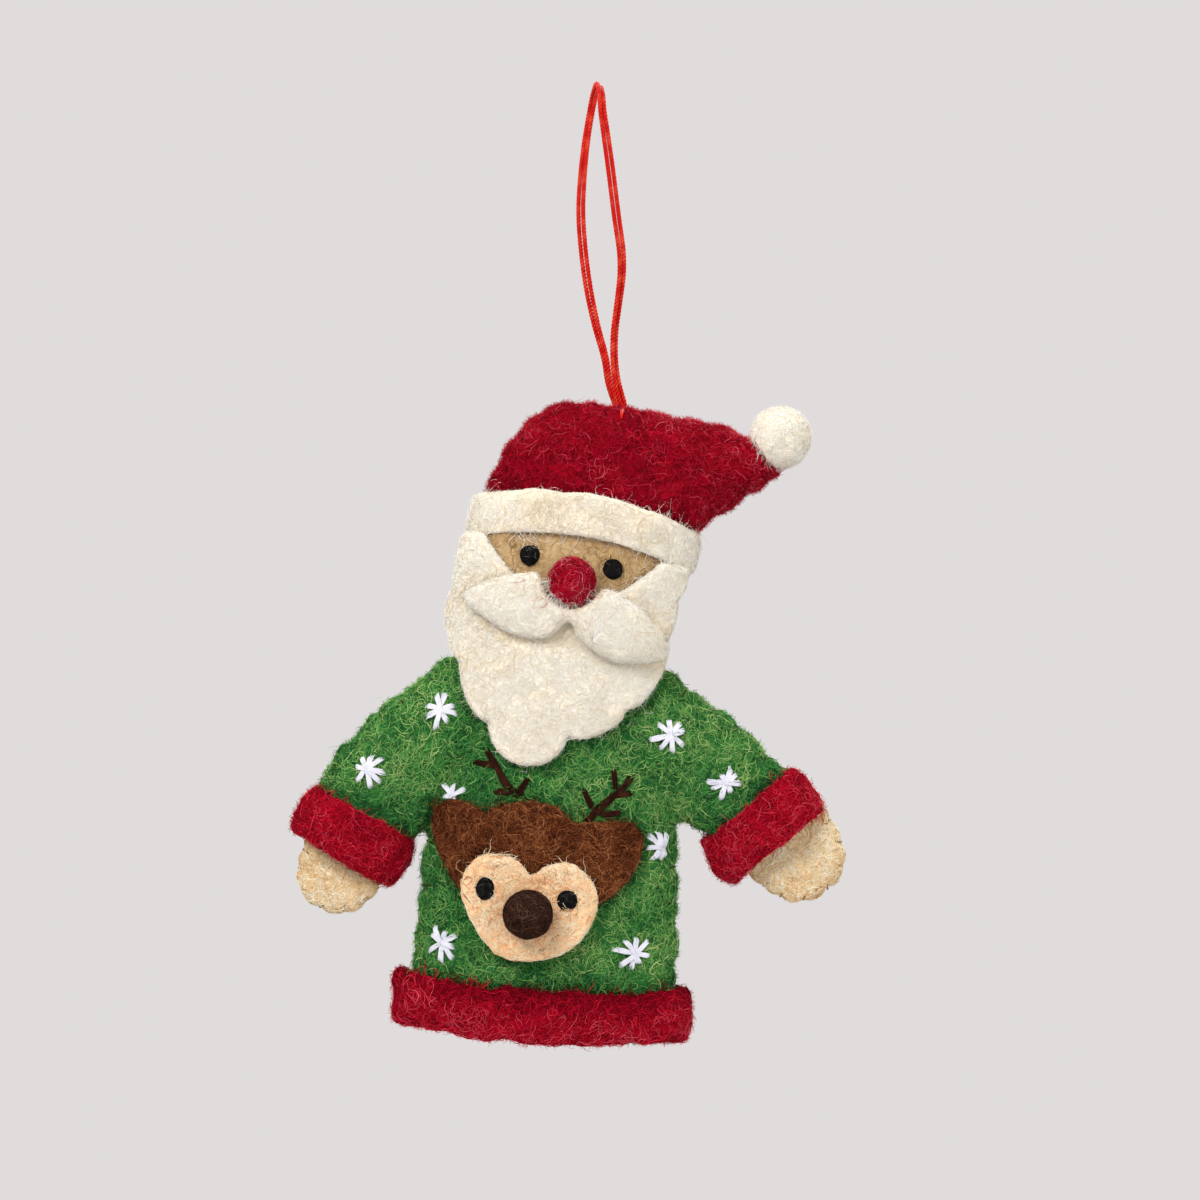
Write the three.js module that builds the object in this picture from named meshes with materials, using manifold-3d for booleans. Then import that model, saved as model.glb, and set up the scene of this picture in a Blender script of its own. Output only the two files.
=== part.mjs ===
// A hanging Christmas decoration: a stuffed felt Father Christmas in a jumper, on a doubled cord loop.
// Millimetres, +Z up, the face towards -Y. The origin is the inside top of the cord loop.

import * as THREE from 'three';
import { mergeVertices } from 'three/addons/utils/BufferGeometryUtils.js';
import Module from 'manifold-3d';

// Cord loop and its knot
const CORD_DIAMETER = 1.0;
const STRAND_GAP = 0.3;
const KNOT_DIAMETER = 2.6;
const HANG_DROP = 61.7;
const HANG_OFFSET = 4.6;

// Felt and fits
const FELT = 2.4;
const THIN_FELT = 1.6;
const CLEARANCE = 0.35;

// Left and right are as seen from the front.

// Head: it leans to the right, and its middle is between the nose and the eyes
const HEAD_LEAN_DEGREES = 9.5;
const HEAD_WIDTH = 40.4;
const HEAD_DEPTH = 22;
const CHIN_DROP = 17;
const EYE_DIAMETER = 3.9;
const EYE_SPACING = 16.1;
const EYE_SHIFT = -0.65;
const EYE_SETTING = 2.9;
const EYE_DOME = 1.6;
const NOSE_DIAMETER = 9.2;
const NOSE_SETTING = -0.7;
const NOSE_SINK = 0.9;

// Hat, brim and pompom
const HAT_REACH = 36;
const HAT_RISE = 33.7;
const HAT_DEPTH = 20;
const HAT_FOOT = 10.5;
const BRIM_HEIGHT = 8;
const BRIM_THICKNESS = 2.3;
const BRIM_SETTING = 8.6;
const BRIM_SHIFT = 0.7;
const BRIM_ARCH = 3.5;
const POMPOM_DIAMETER = 11.9;

// Beard and moustache
const BEARD_WIDTH = 45;
const BEARD_DROP = 36.9;
const BEARD_WRAP_WIDTH = 50;
const MOUSTACHE_WIDTH = 41.2;
const MOUSTACHE_HEIGHT = 14.4;
const MOUSTACHE_PAD = 3.8;

// Jumper: measured down from the neck
const NECK_TURN_DEGREES = 6;
const JUMPER_WIDTH = 50;
const JUMPER_LENGTH = 72.6;
const JUMPER_DEPTH = 20;
const SLEEVE_WIDTH = 18.2;
const SLEEVE_DEPTH = 14;
const HEM_HEIGHT = 9.8;
const HEM_THICKNESS = 3.5;
const HEM_SETTING = 65.4;
const HEM_SHIFT = 1.1;
const HEM_SAG = 2;

// Arms: where each wrist is, seen from the neck, and how far the arm leans out from straight down
const LEFT_WRIST_OUT = 37.3;
const LEFT_WRIST_DROP = 35.1;
const LEFT_ARM_DEGREES = 25.7;
const RIGHT_WRIST_OUT = 41.2;
const RIGHT_WRIST_DROP = 28.3;
const RIGHT_ARM_DEGREES = 42.6;
const ARM_LENGTH = 40;
const CUFF_HEIGHT = 9.8;
const CUFF_THICKNESS = 2.6;
const HAND_DEPTH = 7.4;
const LEFT_HAND_WIDTH = 16.4;
const LEFT_HAND_REACH = 15.4;
const LEFT_HAND_SHIFT = 1;
const RIGHT_HAND_WIDTH = 18.6;
const RIGHT_HAND_REACH = 17.7;
const RIGHT_HAND_SHIFT = 1.7;

// Reindeer patch on the chest
const DEER_WIDTH = 41;
const DEER_HEIGHT = 30.2;
const DEER_DROP = 26.4;
const DEER_OFFSET = 2;
const DEER_NOSE_DIAMETER = 9.6;
const DEER_NOSE_SINK = 2.2;
const DEER_EYE_DIAMETER = 3.9;
const DEER_EYE_DOME = 1.4;

// Facets, and one length that overruns whatever it cuts
const ROW_STEPS = 2;
const CROSS_STEPS = 8;
const FILLING_ROW_STEPS = 1;
const FILLING_CROSS_STEPS = 6;
const BAND_STEPS = 24;
const BAND_LEVELS = 4;
const BALL_DETAIL = 2;
const LOBE_STEPS = 6;
const OUTLINE_STEPS = 44;
const SHEET_STEPS = 12;
const CORD_SIDES = 8;
const CORD_STEPS = 40;
const OVERRUN = 200;

// The cross-section of a stuffed form is this much fuller than an ellipse, whose power is 2
const SECTION_POWER = 2.3;

// Rows of a stuffed form run from one end to the other. Each holds the two edge points, as shares
// of a width and a height, and the half depth there, as a share of half the depth.
const headShares = [
  [0, -1.41, 0, -1.41, 0],
  [-0.45, -1.29, 0.45, -1.29, 0.5],
  [-0.77, -0.91, 0.77, -0.91, 0.85],
  [-0.94, -0.35, 0.94, -0.35, 1],
  [-1, 0.18, 1, 0.18, 1],
  [-0.98, 0.71, 0.98, 0.71, 0.97],
  [-0.74, 1.18, 0.74, 1.18, 0.8],
  [0, 1.47, 0, 1.47, 0],
];
const hatShares = [
  [0, 0.06, 0, 0.06, 0],
  [-0.39, 0.12, 0.44, 0.1, 0.8],
  [-0.533, 0.33, 0.575, 0.28, 1],
  [-0.49, 0.56, 0.645, 0.41, 1],
  [-0.4, 0.79, 0.715, 0.49, 0.97],
  [-0.21, 0.965, 0.785, 0.553, 0.9],
  [0.117, 1, 0.84, 0.621, 0.8],
  [0.422, 1, 0.89, 0.668, 0.66],
  [0.667, 0.985, 0.935, 0.71, 0.52],
  [0.847, 0.92, 0.967, 0.754, 0.36],
  [1, 0.789, 1, 0.789, 0],
];
const hangRow = 6;
const pompomShares = [0.972, 0.982];
const torsoShares = [
  [0.04, -1, 0.04, -1, 0],
  [-0.52, -0.998, 0.6, -0.998, 0.3],
  [-0.84, -0.978, 0.92, -0.978, 0.55],
  [-0.957, -0.909, 1.038, -0.909, 0.8],
  [-0.964, -0.799, 1.046, -0.799, 0.95],
  [-0.952, -0.634, 1.027, -0.634, 1],
  [-0.928, -0.468, 0.998, -0.468, 1],
  [-0.92, -0.33, 0.97, -0.33, 1],
  [-0.85, -0.165, 0.87, -0.165, 1],
  [-0.74, -0.055, 0.74, -0.055, 0.98],
  [-0.58, 0.05, 0.58, 0.05, 0.85],
  [-0.32, 0.11, 0.32, 0.11, 0.5],
  [0, 0.13, 0, 0.13, 0],
];

// Sleeves run from the wrist to the shoulder, along the wrist's own axis
const leftSleeveShares = [
  [0, -0.0625, 0, -0.0625, 0],
  [-0.8, -0.03, 0.8, -0.03, 0.6],
  [-1, 0.04, 1, 0.04, 0.95],
  [-1.14, 0.14, 1.14, 0.14, 1],
  [-1.12, 0.33, 1.45, 0.33, 1.08],
  [-0.93, 0.48, 1.65, 0.48, 1.16],
  [-0.79, 0.6, 1.85, 0.6, 1.2],
  [-0.48, 0.74, 1.85, 0.74, 1.2],
  [-0.3, 0.85, 1.75, 0.85, 1.1],
  [-0.09, 0.97, 1.4, 0.97, 0.85],
  [0.65, 1.06, 0.65, 1.06, 0],
];
const rightSleeveShares = [
  [0, -0.0625, 0, -0.0625, 0],
  [-0.8, -0.03, 0.8, -0.03, 0.6],
  [-1, 0.04, 1, 0.04, 0.95],
  [-1.02, 0.14, 1.02, 0.14, 1],
  [-1.35, 0.28, 1.02, 0.28, 1.06],
  [-1.65, 0.42, 0.96, 0.42, 1.14],
  [-1.85, 0.55, 0.83, 0.55, 1.2],
  [-1.85, 0.68, 0.65, 0.68, 1.2],
  [-1.75, 0.8, 0.56, 0.8, 1.1],
  [-1.4, 0.9, 0.38, 0.9, 0.9],
  [-0.5, 1, -0.5, 1, 0],
];
const handShares = [
  [0.05, -1, 0.05, -1, 0],
  [-0.42, -0.95, 0.46, -0.94, 0.7],
  [-0.8, -0.78, 0.8, -0.78, 0.95],
  [-1, -0.5, 0.98, -0.5, 1],
  [-1, -0.22, 1, -0.22, 1],
  [-0.85, 0.02, 0.85, 0.02, 0.85],
  [0, 0.1, 0, 0.1, 0],
];
const moustacheShares = [
  [-1, -0.46, -1, -0.46, 0],
  [-0.86, -0.285, -0.9, -0.646, 0.6],
  [-0.6, -0.132, -0.66, -0.826, 0.92],
  [-0.4, -0.04, -0.4, -0.896, 1],
  [-0.2, -0.09, -0.2, -0.854, 0.9],
  [0.01, -0.22, 0.01, -0.64, 0.55],
  [0.2, -0.09, 0.22, -0.903, 0.9],
  [0.41, -0.055, 0.43, -1, 1],
  [0.63, -0.03, 0.66, -0.993, 1],
  [0.83, 0.085, 0.88, -0.882, 0.85],
  [0.95, -0.07, 0.98, -0.7, 0.5],
  [1.01, -0.42, 1.01, -0.42, 0],
];

// Beard: each lobe of the scalloped edge ends at a corner and swells out from the straight line to it.
// Corners are shares of half the width and of the drop, the swell a share of half the width.
const beardStartShare = [-0.987, 0.15];
const beardLobeShares = [
  [-1, -0.16, 0.035],
  [-0.822, -0.515, 0.12],
  [-0.502, -0.802, 0.1],
  [0.187, -0.805, 0.325],
  [0.636, -0.626, 0.11],
  [0.902, -0.244, 0.125],
  [0.942, -0.024, 0.03],
  [0.987, 0.15, 0.035],
];
const beardScoopShares = [0.75, -0.83, 0.15, -0.42];

// Reindeer outlines, as shares of half the patch's width and of its height, from its top middle
const deerHeadShares = [
  [-1, -0.19],
  [-0.97, -0.07],
  [-0.83, -0.02],
  [-0.66, -0.03],
  [-0.5, -0.083],
  [-0.36, -0.04],
  [-0.1, 0],
  [0.18, -0.03],
  [0.34, -0.11],
  [0.63, -0.1],
  [0.88, -0.1],
  [0.99, -0.18],
  [0.96, -0.36],
  [0.78, -0.53],
  [0.5, -0.68],
  [0.2, -0.87],
  [-0.1, -0.93],
  [-0.4, -0.82],
  [-0.64, -0.62],
  [-0.9, -0.37],
];
const deerFaceShares = [
  [-0.67, -0.6],
  [-0.66, -0.47],
  [-0.52, -0.36],
  [-0.34, -0.345],
  [-0.15, -0.38],
  [-0.03, -0.46],
  [0.08, -0.41],
  [0.28, -0.365],
  [0.46, -0.42],
  [0.59, -0.53],
  [0.6, -0.65],
  [0.5, -0.82],
  [0.3, -0.94],
  [0, -1],
  [-0.3, -0.97],
  [-0.53, -0.8],
];
const deerNoseShares = [-0.034, -0.702];
const deerEyeShares = [
  [-0.444, -0.56, 0.9, 1.18],
  [0.322, -0.6, 1, 1],
];

// Middle of the doubled cord, from the knot up the front leg, over the top and down the back leg
const cordRoute = [
  [4.3, -0.7, -60.05],
  [3.45, -1.2, -56.6],
  [2.95, -1.7, -52.3],
  [3.0, -2.4, -47.2],
  [3.75, -3.0, -41.2],
  [4.35, -3.5, -36.0],
  [4.3, -3.8, -31.8],
  [3.4, -4.4, -25.2],
  [2.3, -5.0, -16.5],
  [1.35, -5.5, -9.6],
  [0.7, -5.6, -5.0],
  [0.4, -4.0, -1.2],
  [-0.1, 0, 0.5],
  [-0.9, 4.0, -1.2],
  [-1.7, 5.6, -5.1],
  [-2.5, 5.5, -10.2],
  [-3.2, 5.0, -17.0],
  [-3.5, 4.4, -23.5],
  [-3.1, 3.9, -30.2],
  [-2.1, 3.3, -38.0],
  [-0.6, 2.6, -45.3],
  [1.2, 1.9, -52.0],
  [2.0, 1.3, -56.8],
  [4.1, 0.7, -60.05],
];

// Colours of the felts and the cord
const crimsonFelt = { color: 0xa5101f, roughness: 0.95, metalness: 0 };
const greenFelt = { color: 0x2f7d3c, roughness: 0.95, metalness: 0 };
const creamFelt = { color: 0xf1e7d6, roughness: 0.95, metalness: 0 };
const tanFelt = { color: 0xa88a5c, roughness: 0.95, metalness: 0 };
const strawFelt = { color: 0xdcc08c, roughness: 0.95, metalness: 0 };
const brownFelt = { color: 0x5d2f1a, roughness: 0.95, metalness: 0 };
const peachFelt = { color: 0xd9a57c, roughness: 0.95, metalness: 0 };
const blackFelt = { color: 0x14110f, roughness: 0.85, metalness: 0 };
const umberFelt = { color: 0x2a1710, roughness: 0.9, metalness: 0 };
const fillingWool = { color: 0xe6e1d6, roughness: 1, metalness: 0 };
const redCord = { color: 0xd8241a, roughness: 0.45, metalness: 0 };

const wasm = await Module();
wasm.setup();

const atRest = new THREE.Matrix4();

// A closed geometry, placed by a frame, as a solid
function solidOf(geometry, frame = atRest) {
  const placed = geometry.clone();
  placed.applyMatrix4(frame);
  placed.deleteAttribute('normal');
  placed.deleteAttribute('uv');
  const merged = mergeVertices(placed);
  const mesh = new wasm.Mesh({
    numProp: 3,
    vertProperties: new Float32Array(merged.attributes.position.array),
    triVerts: new Uint32Array(merged.index.array),
  });
  return new wasm.Manifold(mesh);
}

// A geometry from points and the corners of its triangles, with the faces pointing out
function closedGeometry(points, corners) {
  let volume = 0;
  for (let i = 0; i < corners.length; i += 3) {
    const [a, b, c] = [points[corners[i]], points[corners[i + 1]], points[corners[i + 2]]];
    volume += a.dot(new THREE.Vector3().crossVectors(b, c));
  }
  if (volume < 0) {
    corners.reverse();
  }
  const geometry = new THREE.BufferGeometry();
  geometry.setFromPoints(points);
  geometry.setIndex(corners);
  return geometry;
}

// Joins rings of points into a closed skin, with a point at each end
function skinOf(rings, start, end) {
  const size = rings[0].length;
  const points = [start, ...rings.flat(), end];
  const corners = [];
  const at = (ring, i) => 1 + ring * size + (i % size);
  for (let i = 0; i < size; i += 1) {
    corners.push(0, at(0, i + 1), at(0, i));
    for (let ring = 0; ring + 1 < rings.length; ring += 1) {
      corners.push(at(ring, i), at(ring, i + 1), at(ring + 1, i + 1));
      corners.push(at(ring, i), at(ring + 1, i + 1), at(ring + 1, i));
    }
    corners.push(at(rings.length - 1, i), at(rings.length - 1, i + 1), points.length - 1);
  }
  return closedGeometry(points, corners);
}

// Share of the half width and of the half depth, at an angle round a stuffed section
function sectionShare(angle) {
  const across = Math.cos(angle);
  const out = Math.sin(angle);
  return [
    Math.sign(across) * Math.abs(across) ** (2 / SECTION_POWER),
    Math.sign(out) * Math.abs(out) ** (2 / SECTION_POWER),
  ];
}

// Rows of shares in real sizes: each row's left and right edge points, with the half depth as their y
function rowsOf(shares, width, height, depth, shift = 0) {
  return shares.map(([leftX, leftZ, rightX, rightZ, deep]) => {
    const half = (deep * depth) / 2;
    return {
      left: new THREE.Vector3(shift + (leftX * width) / 2, half, leftZ * height),
      right: new THREE.Vector3(shift + (rightX * width) / 2, half, rightZ * height),
    };
  });
}

// The edge of a stuffed form, from its first row up the left side to its last and down the right
function edgeOf(rows, rowSteps) {
  const ends = [rows[0].left, rows[rows.length - 1].left];
  const between = rows.slice(1, -1);
  const up = between.map((row) => row.left);
  const down = between.map((row) => row.right).reverse();
  const loop = new THREE.CatmullRomCurve3([ends[0], ...up, ends[1], ...down], true);
  const count = 2 * (rows.length - 1) * rowSteps;
  return Array.from({ length: count }, (_, i) => loop.getPoint(i / count));
}

// A stuffed form that swells between its rows and comes to a seam round its edge. It grows by a
// length on every side to clear or to cover what it holds.
function stuffed(rows, grow = 0, rowSteps = ROW_STEPS, crossSteps = CROSS_STEPS) {
  const edge = edgeOf(rows, rowSteps);
  const half = edge.length / 2;
  const grown = edge.map((point, i) => {
    const ahead = edge[(i + 1) % edge.length];
    const behind = edge[(i + edge.length - 1) % edge.length];
    const run = new THREE.Vector2(ahead.x - behind.x, ahead.z - behind.z).normalize();
    return new THREE.Vector3(point.x - run.y * grow, point.y + grow, point.z + run.x * grow);
  });
  const rings = [];
  for (let k = 1; k < half; k += 1) {
    const left = grown[k];
    const right = grown[edge.length - k];
    const middle = new THREE.Vector3().addVectors(left, right).multiplyScalar(0.5);
    const ring = [];
    for (let j = 0; j < 2 * crossSteps; j += 1) {
      const [across, out] = sectionShare((Math.PI * j) / crossSteps);
      const point = new THREE.Vector3().lerpVectors(middle, right, across);
      point.y = -middle.y * out;
      ring.push(point);
    }
    rings.push(ring);
  }
  const start = grown[0].clone().setY(0);
  const end = grown[half].clone().setY(0);
  return skinOf(rings, start, end);
}

// The filling of a stuffed form: its rows drawn in about its middle, a wall's thickness inside
function filled(rows, wall, width, depth) {
  const middle = new THREE.Vector3();
  rows.forEach((row) => middle.add(row.left).add(row.right));
  middle.divideScalar(2 * rows.length).setY(0);
  const flat = 1 - (2 * wall) / width;
  const deep = 1 - (2 * wall) / depth;
  const geometry = stuffed(rows, 0, FILLING_ROW_STEPS, FILLING_CROSS_STEPS);
  geometry.translate(-middle.x, 0, -middle.z);
  geometry.scale(flat, deep, flat);
  geometry.translate(middle.x, 0, middle.z);
  return geometry;
}

// A padded band round a stuffed section, as a closed barrel that what it goes round is cut from
function band({ width, depth, height, thickness, arch = 0 }, grow = 0) {
  const edgeShare = 0.5;
  const rings = [];
  for (let level = 0; level <= BAND_LEVELS; level += 1) {
    const climb = (Math.PI * level) / BAND_LEVELS - Math.PI / 2;
    const swell = thickness * THREE.MathUtils.lerp(edgeShare, 1, Math.cos(climb)) + grow;
    const rise = Math.sin(climb) * (height / 2 + grow);
    const ring = [];
    for (let i = 0; i < BAND_STEPS; i += 1) {
      const [across, out] = sectionShare((2 * Math.PI * i) / BAND_STEPS);
      const lift = arch * (1 - across * across);
      ring.push(new THREE.Vector3(across * (width / 2 + swell), out * (depth / 2 + swell), rise + lift));
    }
    rings.push(ring);
  }
  const middleLift = arch;
  const foot = new THREE.Vector3(0, 0, middleLift - height / 2 - grow);
  const top = new THREE.Vector3(0, 0, middleLift + height / 2 + grow);
  return skinOf(rings, foot, top);
}

// A block that covers everything on one side of a plane through a point, square to an axis
function beyond(axis, sign, offset, frame = atRest) {
  const block = new THREE.BoxGeometry(2 * OVERRUN, 2 * OVERRUN, 2 * OVERRUN);
  const push = new THREE.Vector3();
  push[axis] = offset + sign * OVERRUN;
  block.translate(push.x, push.y, push.z);
  return solidOf(block, frame);
}

// An outline cut straight through from front to back
function cutThrough(outline, frame) {
  const prism = new THREE.ExtrudeGeometry(outline, { depth: OVERRUN, bevelEnabled: false });
  prism.rotateX(Math.PI / 2);
  return solidOf(prism, frame);
}

// A curved sheet over a rectangle, whose front is a depth that changes with place
function sheet(width, height, top, frontAt, thickness) {
  const points = [];
  const side = SHEET_STEPS + 1;
  for (const behind of [0, thickness]) {
    for (let row = 0; row < side; row += 1) {
      for (let column = 0; column < side; column += 1) {
        const x = width * (column / SHEET_STEPS - 0.5);
        const z = top - (height * row) / SHEET_STEPS;
        points.push(new THREE.Vector3(x, behind - frontAt(x, z), z));
      }
    }
  }
  const corners = [];
  const front = (row, column) => row * side + column;
  const back = (row, column) => side * side + row * side + column;
  for (let row = 0; row < SHEET_STEPS; row += 1) {
    for (let column = 0; column < SHEET_STEPS; column += 1) {
      corners.push(front(row, column), front(row + 1, column), front(row + 1, column + 1));
      corners.push(front(row, column), front(row + 1, column + 1), front(row, column + 1));
      corners.push(back(row, column), back(row + 1, column + 1), back(row + 1, column));
      corners.push(back(row, column), back(row, column + 1), back(row + 1, column + 1));
    }
  }
  for (let i = 0; i < SHEET_STEPS; i += 1) {
    const last = SHEET_STEPS;
    corners.push(front(0, i), front(0, i + 1), back(0, i + 1), front(0, i), back(0, i + 1), back(0, i));
    corners.push(front(last, i), back(last, i + 1), front(last, i + 1));
    corners.push(front(last, i), back(last, i), back(last, i + 1));
    corners.push(front(i, 0), back(i + 1, 0), front(i + 1, 0), front(i, 0), back(i, 0), back(i + 1, 0));
    corners.push(front(i, last), front(i + 1, last), back(i + 1, last));
    corners.push(front(i, last), back(i + 1, last), back(i, last));
  }
  return closedGeometry(points, corners);
}

// How far in front of the middle plane a form's surface is, at a place seen from the front
function frontOf(geometry, x, z) {
  const ray = new THREE.Ray(new THREE.Vector3(x, -OVERRUN, z), new THREE.Vector3(0, 1, 0));
  const points = geometry.attributes.position;
  const corners = geometry.index.array;
  const [a, b, c] = [new THREE.Vector3(), new THREE.Vector3(), new THREE.Vector3()];
  const hit = new THREE.Vector3();
  let nearest = 0;
  for (let i = 0; i < corners.length; i += 3) {
    a.fromBufferAttribute(points, corners[i]);
    b.fromBufferAttribute(points, corners[i + 1]);
    c.fromBufferAttribute(points, corners[i + 2]);
    if (ray.intersectTriangle(a, b, c, false, hit)) {
      nearest = Math.max(nearest, -hit.y);
    }
  }
  return nearest;
}

// A ball, or a ball squeezed to three diameters
function ball(place, diameters) {
  const geometry = new THREE.IcosahedronGeometry(0.5, BALL_DETAIL);
  geometry.scale(...diameters);
  geometry.translate(...place);
  return geometry;
}

// Frames: the head hangs by the hat's top seam from the knot, and the jumper from the neck
const hatRows = rowsOf(hatShares, 2 * HAT_REACH, HAT_RISE, HAT_DEPTH);
const hangPoint = hatRows[hangRow].left;
const hangFrame = new THREE.Matrix4().makeTranslation(HANG_OFFSET, 0, -HANG_DROP);
const headFrame = hangFrame.clone();
headFrame.multiply(new THREE.Matrix4().makeRotationY(THREE.MathUtils.degToRad(HEAD_LEAN_DEGREES)));
headFrame.multiply(new THREE.Matrix4().makeTranslation(-hangPoint.x, 0, -hangPoint.z));
const neckPlace = new THREE.Matrix4().makeTranslation(0, 0, -CHIN_DROP);
neckPlace.multiply(new THREE.Matrix4().makeRotationY(THREE.MathUtils.degToRad(-NECK_TURN_DEGREES)));
const jumperFrame = headFrame.clone().multiply(neckPlace);

// Each wrist's frame has +Z up its sleeve
function wristFrameOf(side, out, drop, degrees) {
  const place = new THREE.Matrix4().makeTranslation(side * out, 0, -drop);
  place.multiply(new THREE.Matrix4().makeRotationY(THREE.MathUtils.degToRad(-side * degrees)));
  return jumperFrame.clone().multiply(place);
}
const leftWristFrame = wristFrameOf(-1, LEFT_WRIST_OUT, LEFT_WRIST_DROP, LEFT_ARM_DEGREES);
const rightWristFrame = wristFrameOf(1, RIGHT_WRIST_OUT, RIGHT_WRIST_DROP, RIGHT_ARM_DEGREES);

// The stuffed forms themselves, and the same forms grown or drawn in
const headRows = rowsOf(headShares, HEAD_WIDTH, CHIN_DROP, HEAD_DEPTH);
const torsoRows = rowsOf(torsoShares, JUMPER_WIDTH, JUMPER_LENGTH, JUMPER_DEPTH);
const leftSleeveRows = rowsOf(leftSleeveShares, SLEEVE_WIDTH, ARM_LENGTH, SLEEVE_DEPTH);
const rightSleeveRows = rowsOf(rightSleeveShares, SLEEVE_WIDTH, ARM_LENGTH, SLEEVE_DEPTH);

function jumperSolid(grow) {
  return solidOf(stuffed(torsoRows, grow), jumperFrame)
    .add(solidOf(stuffed(leftSleeveRows, grow), leftWristFrame))
    .add(solidOf(stuffed(rightSleeveRows, grow), rightWristFrame));
}

// Cutting blocks, over and under the neck and the foot of the hat
const overNeck = beyond('z', 1, -CLEARANCE / 2, jumperFrame);
const underNeck = beyond('z', -1, CLEARANCE / 2, jumperFrame);
const overHatFoot = beyond('z', 1, HAT_FOOT - CLEARANCE / 2, headFrame);
const underHatFoot = beyond('z', -1, HAT_FOOT + CLEARANCE / 2, headFrame);

// A skin or a pad, split at the seam into its front and its back
function halvesOf(whole) {
  return {
    front: whole.subtract(beyond('y', 1, -CLEARANCE / 2)),
    back: whole.subtract(beyond('y', -1, CLEARANCE / 2)),
  };
}

// A felt skin and its stuffing, both cut by their neighbours
function stuffedParts(rows, frame, width, depth, neighbours) {
  const cut = (solid) => neighbours.reduce((rest, neighbour) => rest.subtract(neighbour), solid);
  const inside = (wall) => solidOf(filled(rows, wall, width, depth), frame);
  const skin = cut(solidOf(stuffed(rows), frame)).subtract(inside(FELT));
  return { ...halvesOf(skin), stuffing: cut(inside(FELT + CLEARANCE)) };
}

// Jumper: a body that is open at the neck, and the sleeves cut to lie against it
const torsoRoom = solidOf(stuffed(torsoRows, CLEARANCE), jumperFrame);
const sleeveNeighbours = [overNeck, torsoRoom];
const jumper = stuffedParts(torsoRows, jumperFrame, JUMPER_WIDTH, JUMPER_DEPTH, [overNeck]);
function sleeveParts(rows, frame) {
  return stuffedParts(rows, frame, SLEEVE_WIDTH, SLEEVE_DEPTH, sleeveNeighbours);
}
const leftSleeve = sleeveParts(leftSleeveRows, leftWristFrame);
const rightSleeve = sleeveParts(rightSleeveRows, rightWristFrame);
const jumperRoom = jumperSolid(CLEARANCE);

// Hands, with their roots inside the cuffs, against the closed ends of the sleeves
const leftHandRows = rowsOf(handShares, LEFT_HAND_WIDTH, LEFT_HAND_REACH, HAND_DEPTH, LEFT_HAND_SHIFT);
const rightHandRows = rowsOf(handShares, RIGHT_HAND_WIDTH, RIGHT_HAND_REACH, HAND_DEPTH, RIGHT_HAND_SHIFT);
const leftHand = halvesOf(solidOf(stuffed(leftHandRows), leftWristFrame).subtract(jumperRoom));
const rightHand = halvesOf(solidOf(stuffed(rightHandRows), rightWristFrame).subtract(jumperRoom));

// Cuffs: a felt band round each wrist, over the sleeve's end and the hand's root
const cuffSize = {
  width: SLEEVE_WIDTH,
  depth: SLEEVE_DEPTH,
  height: CUFF_HEIGHT,
  thickness: CUFF_THICKNESS,
};
function cuffSolid(rows, frame) {
  return solidOf(band(cuffSize), frame)
    .subtract(jumperRoom)
    .subtract(solidOf(stuffed(rows, CLEARANCE), frame));
}
const leftCuff = cuffSolid(leftHandRows, leftWristFrame);
const rightCuff = cuffSolid(rightHandRows, rightWristFrame);

// Hem: a thicker band round the foot of the jumper, hanging a little lower in the middle
const hemPlace = new THREE.Matrix4().makeTranslation(HEM_SHIFT, 0, -HEM_SETTING);
const hemFrame = jumperFrame.clone().multiply(hemPlace);
const hemSize = {
  width: JUMPER_WIDTH,
  depth: JUMPER_DEPTH - HEM_THICKNESS,
  height: HEM_HEIGHT,
  thickness: HEM_THICKNESS,
  arch: -HEM_SAG,
};
const hem = solidOf(band(hemSize), hemFrame).subtract(jumperRoom);

// Head: the face felt in front and the hair felt behind, open to the neck and to the hat
const headForm = stuffed(headRows);
const head = stuffedParts(headRows, headFrame, HEAD_WIDTH, HEAD_DEPTH, [underNeck, overHatFoot]);
const headRoom = solidOf(stuffed(headRows, CLEARANCE), headFrame);

// Hat: open at its foot, with a dimple for the knot and a seat for the pompom near its tip
const pompomPlace = [pompomShares[0] * HAT_REACH, 0, pompomShares[1] * HAT_RISE];
function pompomBall(grow) {
  const diameter = POMPOM_DIAMETER + 2 * grow;
  return solidOf(ball(pompomPlace, [diameter, diameter, diameter]), headFrame);
}
function knotBall(grow) {
  const diameter = KNOT_DIAMETER + 2 * grow;
  return solidOf(ball([0, 0, 0], [diameter, diameter, diameter]), hangFrame);
}
const hatNeighbours = [underHatFoot, pompomBall(CLEARANCE), knotBall(CLEARANCE)];
const hat = stuffedParts(hatRows, headFrame, HEAD_WIDTH, HAT_DEPTH, hatNeighbours);
const hatRoom = solidOf(stuffed(hatRows, CLEARANCE), headFrame).subtract(underHatFoot);

// Brim: a felt band over the joint of head and hat, arched over the brow
const brimSize = {
  width: HEAD_WIDTH,
  depth: HEAD_DEPTH,
  height: BRIM_HEIGHT,
  thickness: BRIM_THICKNESS,
  arch: BRIM_ARCH,
};
const brimPlace = new THREE.Matrix4().makeTranslation(BRIM_SHIFT, 0, BRIM_SETTING);
const brimFrame = headFrame.clone().multiply(brimPlace);
const brim = solidOf(band(brimSize), brimFrame).subtract(headRoom).subtract(hatRoom);
const brimRoom = solidOf(band(brimSize, CLEARANCE), brimFrame);

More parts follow.
